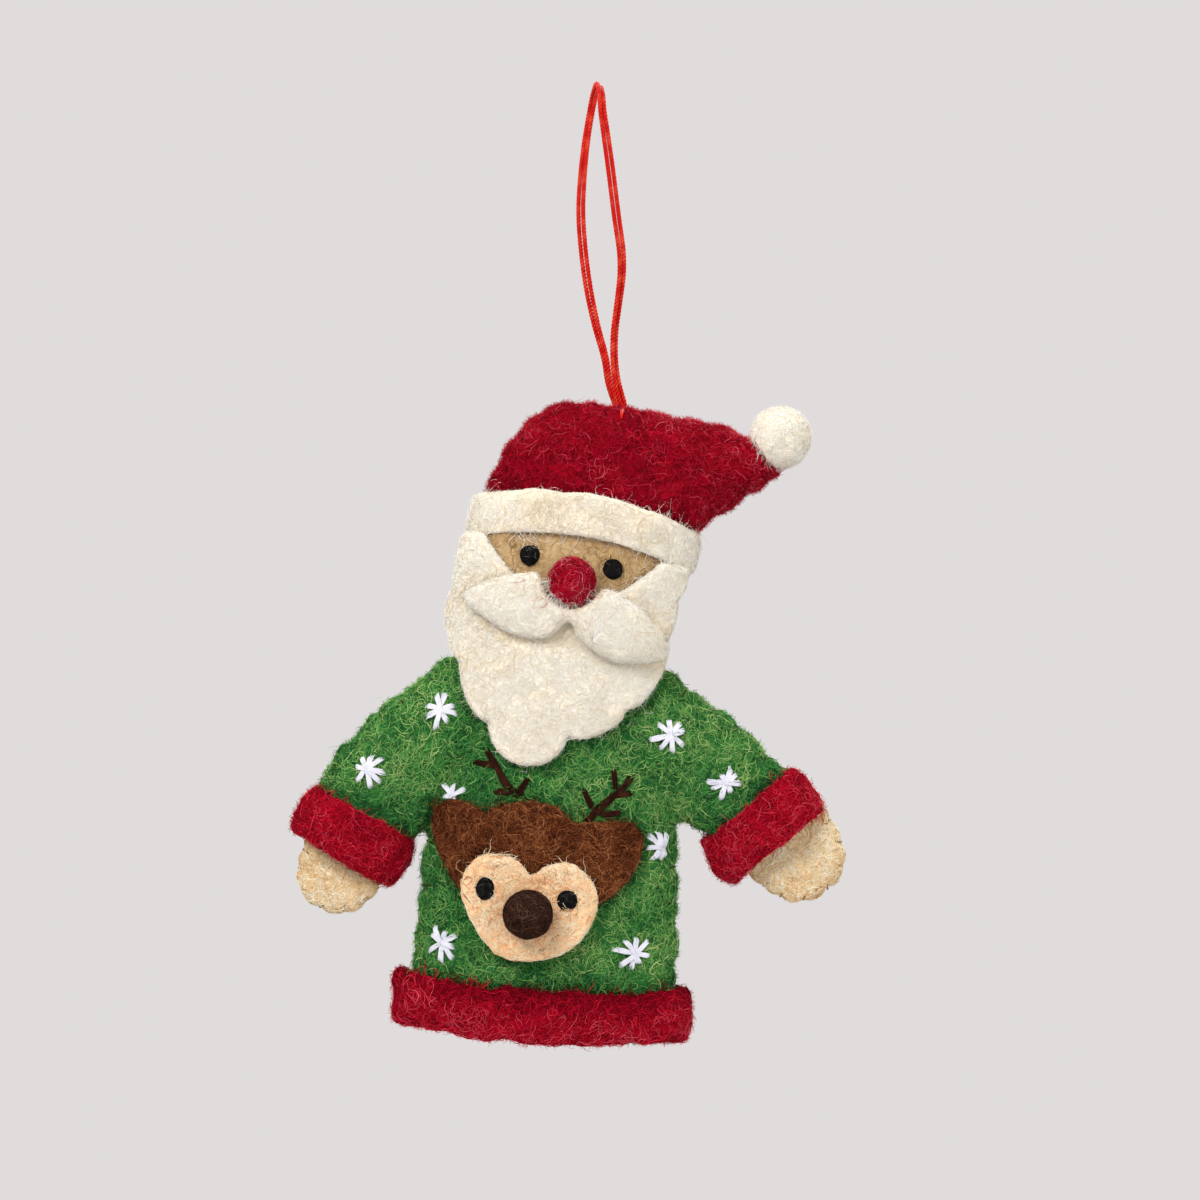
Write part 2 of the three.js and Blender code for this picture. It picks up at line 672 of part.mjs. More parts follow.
// Beard: a felt sheet that lies over the chin and the chest and wraps a little round the sides
function beardFront(x, z) {
  const across = Math.min(1, Math.abs(2 * x) / BEARD_WRAP_WIDTH);
  const fall = THREE.MathUtils.clamp(-z / BEARD_DROP, 0, 1);
  const crest = THREE.MathUtils.lerp(HEAD_DEPTH, JUMPER_DEPTH, fall) / 2 + CLEARANCE + FELT;
  return crest * (1 - across ** SECTION_POWER) ** (1 / SECTION_POWER);
}
function beardPoint([acrossShare, upShare]) {
  return new THREE.Vector2((acrossShare * BEARD_WIDTH) / 2, upShare * BEARD_DROP);
}
function beardOutline() {
  const points = [beardPoint(beardStartShare)];
  for (const [acrossShare, upShare, swellShare] of beardLobeShares) {
    const from = points[points.length - 1];
    const to = beardPoint([acrossShare, upShare]);
    const along = to.clone().sub(from);
    const out = new THREE.Vector2(along.y, -along.x).normalize();
    for (let i = 1; i <= LOBE_STEPS; i += 1) {
      const angle = (Math.PI * i) / LOBE_STEPS;
      const point = from.clone().addScaledVector(along, (1 - Math.cos(angle)) / 2);
      point.addScaledVector(out, (Math.sin(angle) * swellShare * BEARD_WIDTH) / 2);
      points.push(point);
    }
  }
  const [rightShare, leftShare, topShare, dipShare] = beardScoopShares;
  const scoop = new THREE.QuadraticBezierCurve(
    beardPoint([rightShare, topShare]),
    beardPoint([(rightShare + leftShare) / 2, dipShare]),
    beardPoint([leftShare, topShare]),
  );
  return new THREE.Shape([...points, ...scoop.getPoints(2 * LOBE_STEPS)]);
}
function beardSheet(lift, thickness) {
  const [top, height] = [BEARD_DROP / 2, 2 * BEARD_DROP];
  const front = (x, z) => beardFront(x, z) + lift;
  return solidOf(sheet(BEARD_WRAP_WIDTH, height, top, front, thickness), headFrame);
}
function nosePlace() {
  const out = frontOf(headForm, 0, NOSE_SETTING) + NOSE_DIAMETER / 2 - NOSE_SINK;
  return [0, -out, NOSE_SETTING];
}
function noseBall(grow) {
  const diameter = NOSE_DIAMETER + 2 * grow;
  return solidOf(ball(nosePlace(), [diameter, diameter, diameter]), headFrame);
}
const noseRoom = noseBall(CLEARANCE);
const beard = beardSheet(0, FELT)
  .intersect(cutThrough(beardOutline(), headFrame))
  .subtract(headRoom)
  .subtract(brimRoom)
  .subtract(jumperRoom)
  .subtract(noseRoom);
const nose = noseBall(0).subtract(headRoom);

// Moustache: two padded lobes in one piece on the beard, with the nose set into its middle
function moustacheForm() {
  const form = stuffed(rowsOf(moustacheShares, MOUSTACHE_WIDTH, MOUSTACHE_HEIGHT, 2 * MOUSTACHE_PAD));
  const points = form.attributes.position;
  for (let i = 0; i < points.count; i += 1) {
    points.setY(i, points.getY(i) - beardFront(points.getX(i), points.getZ(i)));
  }
  return form;
}
const moustache = solidOf(moustacheForm(), headFrame)
  .subtract(beardSheet(CLEARANCE, OVERRUN))
  .subtract(noseRoom);

// Eyes: small domes on the face
function eyeSolid(side) {
  const x = EYE_SHIFT + (side * EYE_SPACING) / 2;
  const place = [x, -frontOf(headForm, x, EYE_SETTING), EYE_SETTING];
  const diameters = [EYE_DIAMETER, 2 * EYE_DOME, EYE_DIAMETER];
  return solidOf(ball(place, diameters), headFrame).subtract(headRoom);
}

// Reindeer: a brown head with ears, a face on it, a nose and two eyes, each laid on the one below
const torsoForm = stuffed(torsoRows);
function deerPoint([acrossShare, upShare]) {
  return new THREE.Vector2((acrossShare * DEER_WIDTH) / 2 - DEER_OFFSET, upShare * DEER_HEIGHT - DEER_DROP);
}
function deerOutline(shares) {
  const points = shares.map((share) => deerPoint(share));
  return new THREE.Shape(new THREE.SplineCurve([...points, points[0]]).getPoints(OUTLINE_STEPS));
}
function laidOnChest(shares, lift) {
  return jumperSolid(lift + THIN_FELT)
    .intersect(cutThrough(deerOutline(shares), jumperFrame))
    .subtract(jumperSolid(lift));
}
const headLift = CLEARANCE;
const faceLift = headLift + THIN_FELT + CLEARANCE;
const featureLift = faceLift + THIN_FELT + CLEARANCE;
function deerBall(share, diameters, sink) {
  const middle = deerPoint(share);
  const out = frontOf(torsoForm, middle.x, middle.y) + featureLift + diameters[1] / 2 - sink;
  const place = [middle.x, -out, middle.y];
  return solidOf(ball(place, diameters), jumperFrame).subtract(jumperSolid(featureLift));
}
function deerEye([acrossShare, upShare, widthShare, heightShare]) {
  const diameters = [DEER_EYE_DIAMETER * widthShare, 2 * DEER_EYE_DOME, DEER_EYE_DIAMETER * heightShare];
  return deerBall([acrossShare, upShare], diameters, DEER_EYE_DOME);
}

// Cord: two strands side by side along the whole loop
function strand(side) {
  const shift = (side * (CORD_DIAMETER + STRAND_GAP)) / 2;
  const points = cordRoute.map(([x, y, z]) => new THREE.Vector3(x + shift, y, z));
  const section = new THREE.Shape();
  for (let i = 0; i < CORD_SIDES; i += 1) {
    const angle = (2 * Math.PI * (i + 1 / 2)) / CORD_SIDES;
    const [x, y] = [(Math.cos(angle) * CORD_DIAMETER) / 2, (Math.sin(angle) * CORD_DIAMETER) / 2];
    if (i === 0) {
      section.moveTo(x, y);
    } else {
      section.lineTo(x, y);
    }
  }
  return new THREE.ExtrudeGeometry(section, {
    steps: CORD_STEPS,
    extrudePath: new THREE.CatmullRomCurve3(points),
    bevelEnabled: false,
  });
}

// The figure as a tree: the loop, the knot on it, and the head and the jumper hung from the knot
const decoration = new THREE.Group();
const knotGroup = new THREE.Group();
const headGroup = new THREE.Group();
const jumperGroup = new THREE.Group();
hangFrame.decompose(knotGroup.position, knotGroup.quaternion, knotGroup.scale);
headFrame.decompose(headGroup.position, headGroup.quaternion, headGroup.scale);
neckPlace.decompose(jumperGroup.position, jumperGroup.quaternion, jumperGroup.scale);
headGroup.add(jumperGroup);
decoration.add(knotGroup, headGroup);
decoration.updateMatrixWorld(true);

function addPiece(group, name, geometry, finish) {
  const mesh = new THREE.Mesh(geometry, new THREE.MeshStandardMaterial(finish));
  mesh.name = name;
  group.add(mesh);
}

// A solid as a named mesh in its group
function addSolid(group, name, solid, finish) {
  const { vertProperties, triVerts } = solid.getMesh();
  const geometry = new THREE.BufferGeometry();
  geometry.setAttribute('position', new THREE.BufferAttribute(vertProperties, 3));
  geometry.setIndex(new THREE.BufferAttribute(triVerts, 1));
  geometry.applyMatrix4(group.matrixWorld.clone().invert());
  geometry.computeVertexNormals();
  addPiece(group, name, geometry, finish);
}

addPiece(decoration, 'hanging_cord_left_strand', strand(-1), redCord);
addPiece(decoration, 'hanging_cord_right_strand', strand(1), redCord);
addSolid(knotGroup, 'cord_knot', knotBall(0), redCord);

addSolid(headGroup, 'hat_front', hat.front, crimsonFelt);
addSolid(headGroup, 'hat_back', hat.back, crimsonFelt);
addSolid(headGroup, 'hat_stuffing', hat.stuffing, fillingWool);
addSolid(headGroup, 'hat_brim', brim, creamFelt);
addSolid(headGroup, 'hat_pompom', pompomBall(0), creamFelt);
addSolid(headGroup, 'head_face', head.front, tanFelt);
addSolid(headGroup, 'head_back', head.back, creamFelt);
addSolid(headGroup, 'head_stuffing', head.stuffing, fillingWool);
addSolid(headGroup, 'beard', beard, creamFelt);
addSolid(headGroup, 'moustache', moustache, creamFelt);
addSolid(headGroup, 'nose', nose, crimsonFelt);
addSolid(headGroup, 'eye_left', eyeSolid(-1), blackFelt);
addSolid(headGroup, 'eye_right', eyeSolid(1), blackFelt);

addSolid(jumperGroup, 'jumper_front', jumper.front, greenFelt);
addSolid(jumperGroup, 'jumper_back', jumper.back, greenFelt);
addSolid(jumperGroup, 'jumper_stuffing', jumper.stuffing, fillingWool);
addSolid(jumperGroup, 'sleeve_left_front', leftSleeve.front, greenFelt);
addSolid(jumperGroup, 'sleeve_left_back', leftSleeve.back, greenFelt);
addSolid(jumperGroup, 'sleeve_left_stuffing', leftSleeve.stuffing, fillingWool);
addSolid(jumperGroup, 'sleeve_right_front', rightSleeve.front, greenFelt);
addSolid(jumperGroup, 'sleeve_right_back', rightSleeve.back, greenFelt);
addSolid(jumperGroup, 'sleeve_right_stuffing', rightSleeve.stuffing, fillingWool);
addSolid(jumperGroup, 'hem_band', hem, crimsonFelt);
addSolid(jumperGroup, 'cuff_left', leftCuff, crimsonFelt);
addSolid(jumperGroup, 'cuff_right', rightCuff, crimsonFelt);
addSolid(jumperGroup, 'hand_left_front', leftHand.front, strawFelt);
addSolid(jumperGroup, 'hand_left_back', leftHand.back, strawFelt);
addSolid(jumperGroup, 'hand_right_front', rightHand.front, strawFelt);
addSolid(jumperGroup, 'hand_right_back', rightHand.back, strawFelt);
addSolid(jumperGroup, 'reindeer_head', laidOnChest(deerHeadShares, headLift), brownFelt);
addSolid(jumperGroup, 'reindeer_face', laidOnChest(deerFaceShares, faceLift), peachFelt);
addSolid(
  jumperGroup,
  'reindeer_nose',
  deerBall(deerNoseShares, [DEER_NOSE_DIAMETER, DEER_NOSE_DIAMETER, DEER_NOSE_DIAMETER], DEER_NOSE_SINK),
  umberFelt,
);
addSolid(jumperGroup, 'reindeer_eye_left', deerEye(deerEyeShares[0]), blackFelt);
addSolid(jumperGroup, 'reindeer_eye_right', deerEye(deerEyeShares[1]), blackFelt);

export default decoration;
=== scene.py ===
"""A hanging Christmas decoration: a stuffed felt Father Christmas in a jumper, on a doubled cord loop.

Shapes are worked out in millimetres, in the CAD frame, and turned into metres as each piece is made.
Left and right are as seen from the front.
"""

import math

import bmesh
import bpy
import numpy as np
from mathutils import Matrix, Vector, geometry
from mathutils.bvhtree import BVHTree


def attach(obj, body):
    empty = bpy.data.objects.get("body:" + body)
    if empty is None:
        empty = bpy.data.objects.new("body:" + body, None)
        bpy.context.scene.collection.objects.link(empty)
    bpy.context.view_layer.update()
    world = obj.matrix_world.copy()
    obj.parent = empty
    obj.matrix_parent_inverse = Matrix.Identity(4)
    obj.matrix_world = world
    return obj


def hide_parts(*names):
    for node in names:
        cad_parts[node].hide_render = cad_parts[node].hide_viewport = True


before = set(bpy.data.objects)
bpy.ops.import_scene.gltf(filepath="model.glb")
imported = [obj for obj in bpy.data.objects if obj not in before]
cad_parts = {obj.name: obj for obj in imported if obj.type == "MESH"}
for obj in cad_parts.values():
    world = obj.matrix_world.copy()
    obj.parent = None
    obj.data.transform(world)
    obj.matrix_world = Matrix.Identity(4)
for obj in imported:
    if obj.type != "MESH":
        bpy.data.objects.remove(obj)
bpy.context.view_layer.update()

MM = 0.001


def add_object(name, data):
    obj = bpy.data.objects.new(name, data)
    bpy.context.scene.collection.objects.link(obj)
    return obj


# ---------------------------------------------------------------- camera

PHOTO_WIDTH = 1200
PHOTO_PIXELS_PER_MM = 5.2
SENSOR_WIDTH = 36
CAMERA_DISTANCE = 1500.0
VIEW_ACROSS = 0.2
VIEW_HEIGHT = -98.5


def make_camera():
    data = bpy.data.cameras.new("camera")
    data.sensor_width = SENSOR_WIDTH
    data.lens = SENSOR_WIDTH * CAMERA_DISTANCE / (PHOTO_WIDTH / PHOTO_PIXELS_PER_MM)
    data.clip_start, data.clip_end = 0.01, 20
    camera = add_object("camera", data)
    camera.location = [c * MM for c in (VIEW_ACROSS, -CAMERA_DISTANCE, VIEW_HEIGHT)]
    camera.rotation_euler = (math.pi / 2, 0, 0)
    bpy.context.scene.camera = camera


make_camera()

# ---------------------------------------------------------------- sizes, as in the CAD source

SECTION_POWER = 2.3
KNOT_DIAMETER = 2.6
HANG_DROP = 61.7
HANG_OFFSET = 4.6
FELT = 2.4
THIN_FELT = 1.6
HEAD_LEAN = math.radians(9.5)
HEAD_WIDTH = 40.4
HEAD_DEPTH = 22.0
CHIN_DROP = 17.0
EYE_DIAMETER = 3.9
EYE_SPACING = 16.1
EYE_SHIFT = -0.65
EYE_SETTING = 2.9
NOSE_DIAMETER = 9.2
NOSE_SETTING = -0.7
NOSE_SINK = 0.9
HAT_REACH = 36.0
HAT_RISE = 33.7
HAT_DEPTH = 20.0
HAT_FOOT = 10.5
BRIM_HEIGHT = 8.0
BRIM_THICKNESS = 2.3
BRIM_SETTING = 8.6
BRIM_SHIFT = 0.7
BRIM_ARCH = 3.5
POMPOM_DIAMETER = 11.9
BEARD_WIDTH = 45.0
BEARD_DROP = 36.9
BEARD_WRAP_WIDTH = 50.0
MOUSTACHE_WIDTH = 41.2
MOUSTACHE_HEIGHT = 14.4
MOUSTACHE_PAD = 3.8
NECK_TURN = math.radians(6)
JUMPER_WIDTH = 50.0
JUMPER_LENGTH = 72.6
JUMPER_DEPTH = 20.0
SLEEVE_WIDTH = 18.2
SLEEVE_DEPTH = 14.0
ARM_LENGTH = 40.0
HEM_HEIGHT = 9.8
HEM_THICKNESS = 3.5
HEM_SETTING = 65.4
HEM_SHIFT = 1.1
HEM_SAG = 2.0
CUFF_HEIGHT = 9.8
CUFF_THICKNESS = 2.6
HAND_DEPTH = 7.4
LEFT_HAND = (16.4, 15.4, 1.0)
RIGHT_HAND = (18.6, 17.7, 1.7)
LEFT_WRIST = (37.3, 35.1, 25.7)
RIGHT_WRIST = (41.2, 28.3, 42.6)
DEER_WIDTH = 41.0
DEER_HEIGHT = 30.2
DEER_DROP = 26.4
DEER_OFFSET = 2.0
DEER_NOSE_DIAMETER = 9.6
DEER_EYE_DIAMETER = 3.9

HEAD_ROWS = [
    (0, -1.41, 0, -1.41, 0), (-0.45, -1.29, 0.45, -1.29, 0.5), (-0.77, -0.91, 0.77, -0.91, 0.85),
    (-0.94, -0.35, 0.94, -0.35, 1), (-1, 0.18, 1, 0.18, 1), (-0.98, 0.71, 0.98, 0.71, 0.97),
    (-0.74, 1.18, 0.74, 1.18, 0.8), (0, 1.47, 0, 1.47, 0),
]
HAT_ROWS = [
    (0, 0.06, 0, 0.06, 0), (-0.39, 0.12, 0.44, 0.1, 0.8), (-0.533, 0.33, 0.575, 0.28, 1),
    (-0.49, 0.56, 0.645, 0.41, 1), (-0.4, 0.79, 0.715, 0.49, 0.97), (-0.21, 0.965, 0.785, 0.553, 0.9),
    (0.117, 1, 0.84, 0.621, 0.8), (0.422, 1, 0.89, 0.668, 0.66), (0.667, 0.985, 0.935, 0.71, 0.52),
    (0.847, 0.92, 0.967, 0.754, 0.36), (1, 0.789, 1, 0.789, 0),
]
HANG_ROW = 6
POMPOM_SHARES = (0.972, 0.982)
TORSO_ROWS = [
    (0.04, -1, 0.04, -1, 0), (-0.52, -0.998, 0.6, -0.998, 0.3), (-0.84, -0.978, 0.92, -0.978, 0.55),
    (-0.957, -0.909, 1.038, -0.909, 0.8), (-0.964, -0.799, 1.046, -0.799, 0.95),
    (-0.952, -0.634, 1.027, -0.634, 1), (-0.928, -0.468, 0.998, -0.468, 1), (-0.92, -0.33, 0.97, -0.33, 1),
    (-0.85, -0.165, 0.87, -0.165, 1), (-0.74, -0.055, 0.74, -0.055, 0.98), (-0.58, 0.05, 0.58, 0.05, 0.85),
    (-0.32, 0.11, 0.32, 0.11, 0.5), (0, 0.13, 0, 0.13, 0),
]
LEFT_SLEEVE_ROWS = [
    (0, -0.0625, 0, -0.0625, 0), (-0.8, -0.03, 0.8, -0.03, 0.6), (-1, 0.04, 1, 0.04, 0.95),
    (-1.14, 0.14, 1.14, 0.14, 1), (-1.12, 0.33, 1.45, 0.33, 1.08), (-0.93, 0.48, 1.65, 0.48, 1.16),
    (-0.79, 0.6, 1.85, 0.6, 1.2), (-0.48, 0.74, 1.85, 0.74, 1.2), (-0.3, 0.85, 1.75, 0.85, 1.1),
    (-0.09, 0.97, 1.4, 0.97, 0.85), (0.65, 1.06, 0.65, 1.06, 0),
]
RIGHT_SLEEVE_ROWS = [
    (0, -0.0625, 0, -0.0625, 0), (-0.8, -0.03, 0.8, -0.03, 0.6), (-1, 0.04, 1, 0.04, 0.95),
    (-1.02, 0.14, 1.02, 0.14, 1), (-1.35, 0.28, 1.02, 0.28, 1.06), (-1.65, 0.42, 0.96, 0.42, 1.14),
    (-1.85, 0.55, 0.83, 0.55, 1.2), (-1.85, 0.68, 0.65, 0.68, 1.2), (-1.75, 0.8, 0.56, 0.8, 1.1),
    (-1.4, 0.9, 0.38, 0.9, 0.9), (-0.5, 1, -0.5, 1, 0),
]
HAND_ROWS = [
    (0.05, -1, 0.05, -1, 0), (-0.42, -0.95, 0.46, -0.94, 0.7), (-0.8, -0.78, 0.8, -0.78, 0.95),
    (-1, -0.5, 0.98, -0.5, 1), (-1, -0.22, 1, -0.22, 1), (-0.85, 0.02, 0.85, 0.02, 0.85),
    (0, 0.1, 0, 0.1, 0),
]
MOUSTACHE_ROWS = [
    (-0.978, -0.464, -0.978, -0.464, 0), (-0.895, -0.371, -0.904, -0.567, 0.6),
    (-0.776, -0.268, -0.766, -0.675, 0.85), (-0.634, -0.163, -0.582, -0.805, 0.95),
    (-0.481, -0.064, -0.405, -0.874, 1), (-0.336, -0.021, -0.236, -0.872, 0.95),
    (-0.213, -0.268, -0.096, -0.793, 0.85), (0.012, -0.428, 0.034, -0.584, 0.6),
    (0.185, -0.313, 0.177, -0.798, 0.85), (0.33, -0.079, 0.313, -0.919, 0.95),
    (0.483, -0.131, 0.489, -0.984, 1), (0.643, -0.249, 0.657, -0.978, 0.95),
    (0.809, -0.42, 0.84, -0.938, 0.85), (0.925, -0.545, 0.964, -0.877, 0.6),
    (0.99, -0.703, 0.99, -0.703, 0),
]
BEARD_START = (-0.987, 0.15)
BEARD_LOBES = [
    (-1, -0.16, 0.035), (-0.822, -0.515, 0.12), (-0.502, -0.802, 0.1), (0.187, -0.805, 0.325),
    (0.636, -0.626, 0.11), (0.902, -0.244, 0.125), (0.942, -0.024, 0.03), (0.987, 0.15, 0.035),
]
BEARD_SCOOP = (0.75, -0.83, 0.15, -0.42)
DEER_HEAD = [
    (-1, -0.19), (-0.97, -0.07), (-0.83, -0.02), (-0.66, -0.03), (-0.5, -0.083), (-0.36, -0.04), (-0.1, 0),
    (0.18, -0.03), (0.34, -0.11), (0.63, -0.1), (0.88, -0.1), (0.99, -0.18), (0.96, -0.36), (0.78, -0.53),
    (0.5, -0.68), (0.2, -0.87), (-0.1, -0.93), (-0.4, -0.82), (-0.64, -0.62), (-0.9, -0.37),
]
DEER_FACE = [
    (-0.67, -0.6), (-0.66, -0.47), (-0.52, -0.36), (-0.34, -0.345), (-0.15, -0.38), (-0.03, -0.46),
    (0.08, -0.41), (0.28, -0.365), (0.46, -0.42), (0.59, -0.53), (0.6, -0.65), (0.5, -0.82), (0.3, -0.94),
    (0, -1), (-0.3, -0.97), (-0.53, -0.8),
]
DEER_NOSE = (-0.034, -0.702)
DEER_EYES = [(-0.444, -0.56, 0.9, 1.18), (0.322, -0.6, 1, 1)]
CORD_ROUTE = [
    (4.3, -0.7, -60.05), (3.45, -1.2, -56.6), (2.95, -1.7, -52.3), (3.0, -2.4, -47.2), (3.75, -3.0, -41.2),
    (4.35, -3.5, -36.0), (4.3, -3.8, -31.8), (3.4, -4.4, -25.2), (2.3, -5.0, -16.5), (1.35, -5.5, -9.6),
    (0.7, -5.6, -5.0), (0.4, -4.0, -1.2), (-0.1, 0, 0.5), (-0.9, 4.0, -1.2), (-1.7, 5.6, -5.1),
    (-2.5, 5.5, -10.2), (-3.2, 5.0, -17.0), (-3.5, 4.4, -23.5), (-3.1, 3.9, -30.2), (-2.1, 3.3, -38.0),
    (-0.6, 2.6, -45.3), (1.2, 1.9, -52.0), (2.0, 1.3, -56.8), (4.1, 0.7, -60.05),
]

# Sizes of the looks alone
STRAND = 0.92
STRAND_PITCH = 0.94
STRAND_FEET = ((4.75, -0.4, -61.5), (3.6, 0.4, -61.5))
STRAND_SPACING = 0.15
PLY_RADIUS = 0.235
PLY_PITCH = 2.1
PLY_SIDES = 8
KNOT_CORD_RADIUS = 0.4
KNOT_DROP = 0.45
CUT_GAP = 0.15
VOXEL = 0.55
HAND_VOXEL = 0.45
MOUSTACHE_VOXEL = 0.5
RAY_START = 80
BAND_OVERLAP = 0.8
HAT_STITCH_SPACING = 6.2
JUMPER_STITCH_SPACING = 6.4
HAND_STITCH_SPACING = 4.6
STITCH_JITTER = 0.18
STITCH_RADIUS = 0.2
SNOWFLAKE_RADIUS = 0.165
SNOWFLAKE_THREADS = (-1.5, -0.5, 0.5, 1.5)
ANTLER_RADIUS = 0.28
MAIN_ANTLERS = (0, 4)
CORD_STITCH_RADIUS = 0.16
THREAD_DIP = -0.15
SHEET_GAP = 0.08
HEM_LEFT_CORNER = (-39.0, -170.6)
RIGHT_CUFF_CORNER = (23.3, -150.4)
HAND_CUT = -3.1
JUMPER_FOOT = -60
FOOT_RISE = 2.4
NOSE_BUMPS = ((0.12, 1.8), (0.06, 0.7))
EYE_BUMPS = ((0.12, 1.1), (0.05, 0.5))
FACES = ((-1, "front"), (1, "back"))

# Embroidery, in millimetres from the neck in the jumper's frame: each snowflake's middle, then the
# direction and length of its stitches
SNOWFLAKES = [
    (-21.9, -9.7, [(110, 3.1), (72, 3.6), (20, 3.0), (-14, 3.5), (-54, 3.1), (-100, 4.25), (212, 3.2),
                   (170, 3.0)]),
    (-35.2, -22.0, [(120, 2.7), (76, 3.0), (40, 4.0), (-8, 3.9), (-40, 4.1), (-76, 3.9), (238, 3.3),
                    (172, 2.5)]),
    (-18.4, -26.3, [(132, 3.3), (88, 2.6), (34, 2.8), (172, 2.1)]),
    (22.6, -11.9, [(146, 3.5), (104, 3.2), (56, 3.2), (18, 2.9), (-40, 3.4), (-84, 3.7), (-126, 3.7),
                   (194, 4.5)]),
    (33.4, -20.3, [(124, 1.9), (74, 3.2), (40, 2.75), (-4, 3.3), (-62, 2.6), (-104, 3.7), (-150, 3.3),
                   (180, 3.85)]),
    (22.0, -33.5, [(140, 3.8), (110, 3.2), (80, 3.0), (184, 3.0), (-122, 3.2), (-98, 2.75), (-72, 2.3)]),
    (-18.8, -54.3, [(114, 3.7), (76, 2.6), (32, 3.2), (138, 2.6), (-18, 2.8), (-56, 4.05), (-90, 3.95),
                    (-142, 3.25)]),
    (18.0, -54.2, [(128, 3.4), (86, 3.5), (46, 3.8), (-8, 3.1), (-60, 2.4), (-100, 3.2), (-140, 3.8),
                   (170, 4.15)]),
]
ANTLERS = [
    [(-5.8, -25.6), (-8.6, -22.9), (-10.4, -20.1), (-12.9, -16.6)],
    [(-10.6, -20.0), (-14.6, -19.3)],
    [(-7.1, -24.8), (-10.5, -24.7)],
    [(-6.1, -25.4), (-4.3, -22.2)],
    [(7.0, -30.0), (9.0, -27.5), (11.1, -25.1), (13.3, -23.3), (16.1, -19.6)],
    [(12.4, -23.3), (11.8, -19.0)],
    [(8.6, -27.2), (6.4, -23.3)],
    [(12.8, -24.3), (16.0, -23.4)],
    [(9.7, -27.9), (13.6, -27.5)],
]


# ---------------------------------------------------------------- frames


def turn_y(angle):
    return Matrix.Rotation(angle, 4, "Y")


def shift(x, y, z):
    return Matrix.Translation((x, y, z))


def rows_of(shares, width, height, depth, across=0.0):
    """Left and right edge points of each row, with the half depth as their y."""
    s = np.array(shares, float)
    half = s[:, 4] * depth / 2
    return [np.stack([across + s[:, k] * width / 2, half, s[:, k + 1] * height], 1) for k in (0, 2)]


hat_rows = rows_of(HAT_ROWS, 2 * HAT_REACH, HAT_RISE, HAT_DEPTH)
head_rows = rows_of(HEAD_ROWS, HEAD_WIDTH, CHIN_DROP, HEAD_DEPTH)
torso_rows = rows_of(TORSO_ROWS, JUMPER_WIDTH, JUMPER_LENGTH, JUMPER_DEPTH)
left_sleeve_rows = rows_of(LEFT_SLEEVE_ROWS, SLEEVE_WIDTH, ARM_LENGTH, SLEEVE_DEPTH)
right_sleeve_rows = rows_of(RIGHT_SLEEVE_ROWS, SLEEVE_WIDTH, ARM_LENGTH, SLEEVE_DEPTH)
hang_point = hat_rows[0][HANG_ROW]

hang_frame = shift(HANG_OFFSET, 0, -HANG_DROP)
head_frame = hang_frame @ turn_y(HEAD_LEAN) @ shift(-hang_point[0], 0, -hang_point[2])
jumper_frame = head_frame @ shift(0, 0, -CHIN_DROP) @ turn_y(-NECK_TURN)


def wrist_frame(side, out, drop, degrees):
    return jumper_frame @ shift(side * out, 0, -drop) @ turn_y(-side * math.radians(degrees))


left_wrist = wrist_frame(-1, *LEFT_WRIST)
right_wrist = wrist_frame(1, *RIGHT_WRIST)
hem_frame = jumper_frame @ shift(HEM_SHIFT, 0, -HEM_SETTING)
brim_frame = head_frame @ shift(BRIM_SHIFT, 0, BRIM_SETTING)


def placed(points, matrix):
    m = np.array(matrix)
    return np.asarray(points, float) @ m[:3, :3].T + m[:3, 3]


def unplaced(points, matrix):
    return placed(points, matrix.inverted())


# ---------------------------------------------------------------- numbers

NOISE_CELLS = 32


def eased(t):
    return t * t * (3 - 2 * t)


def value_noise(points, size, seed):
    """Smooth noise from -1 to 1, whose lumps are about one size across."""
    table = np.random.default_rng(seed).random((NOISE_CELLS,) * 3) * 2 - 1
    p = np.asarray(points, float) / size + 17.3 * (seed % 11)
    cell = np.floor(p).astype(int)
    f = eased(p - cell)
    sides = (1 - f, f)
    total = np.zeros(len(p))
    for dx, dy, dz in np.ndindex(2, 2, 2):
        weight = sides[dx][:, 0] * sides[dy][:, 1] * sides[dz][:, 2]
        total += weight * table[tuple((cell + (dx, dy, dz)).T % NOISE_CELLS)]
    return total


def unit(v):
    return v / (np.linalg.norm(v, axis=-1, keepdims=True) + 1e-9)


def lengths_along(line):
    return np.concatenate([[0], np.cumsum(np.linalg.norm(np.diff(line, axis=0), axis=1))])


def at_lengths(line, gone, at):
    """Points at given lengths along a line, whose own points lie at the lengths gone."""
    return np.stack([np.interp(at, gone, column) for column in line.T], 1)


def curve_through(points, steps, closed=True):
    """A centripetal spline through points, with that many steps between each pair."""
    p = np.asarray(points, float)
    before, after = (p[-1:], p[:2]) if closed else (2 * p[0] - p[1], 2 * p[-1] - p[-2])
    p = np.vstack([before, p, after])
    t = np.arange(steps)[:, None] / steps
    made = []
    for i in range(len(p) - 3):
        q = p[i:i + 4]
        d = [max(np.linalg.norm(q[k + 1] - q[k]) ** 0.5, 1e-4) for k in range(3)]
        a = ((q[1] - q[0]) / d[0] - (q[2] - q[0]) / (d[0] + d[1]) + (q[2] - q[1]) / d[1]) * d[1]
        b = ((q[2] - q[1]) / d[1] - (q[3] - q[1]) / (d[1] + d[2]) + (q[3] - q[2]) / d[2]) * d[1]
        square, cube = -3 * q[1] + 3 * q[2] - 2 * a - b, 2 * q[1] - 2 * q[2] + a + b
        made.append(q[1] + a * t + square * t**2 + cube * t**3)
    return np.vstack(made if closed else [*made, p[-2]])


def edge_of(rows, steps):
    left, right = rows
    return curve_through(np.vstack([left, right[1:-1][::-1]]), steps)


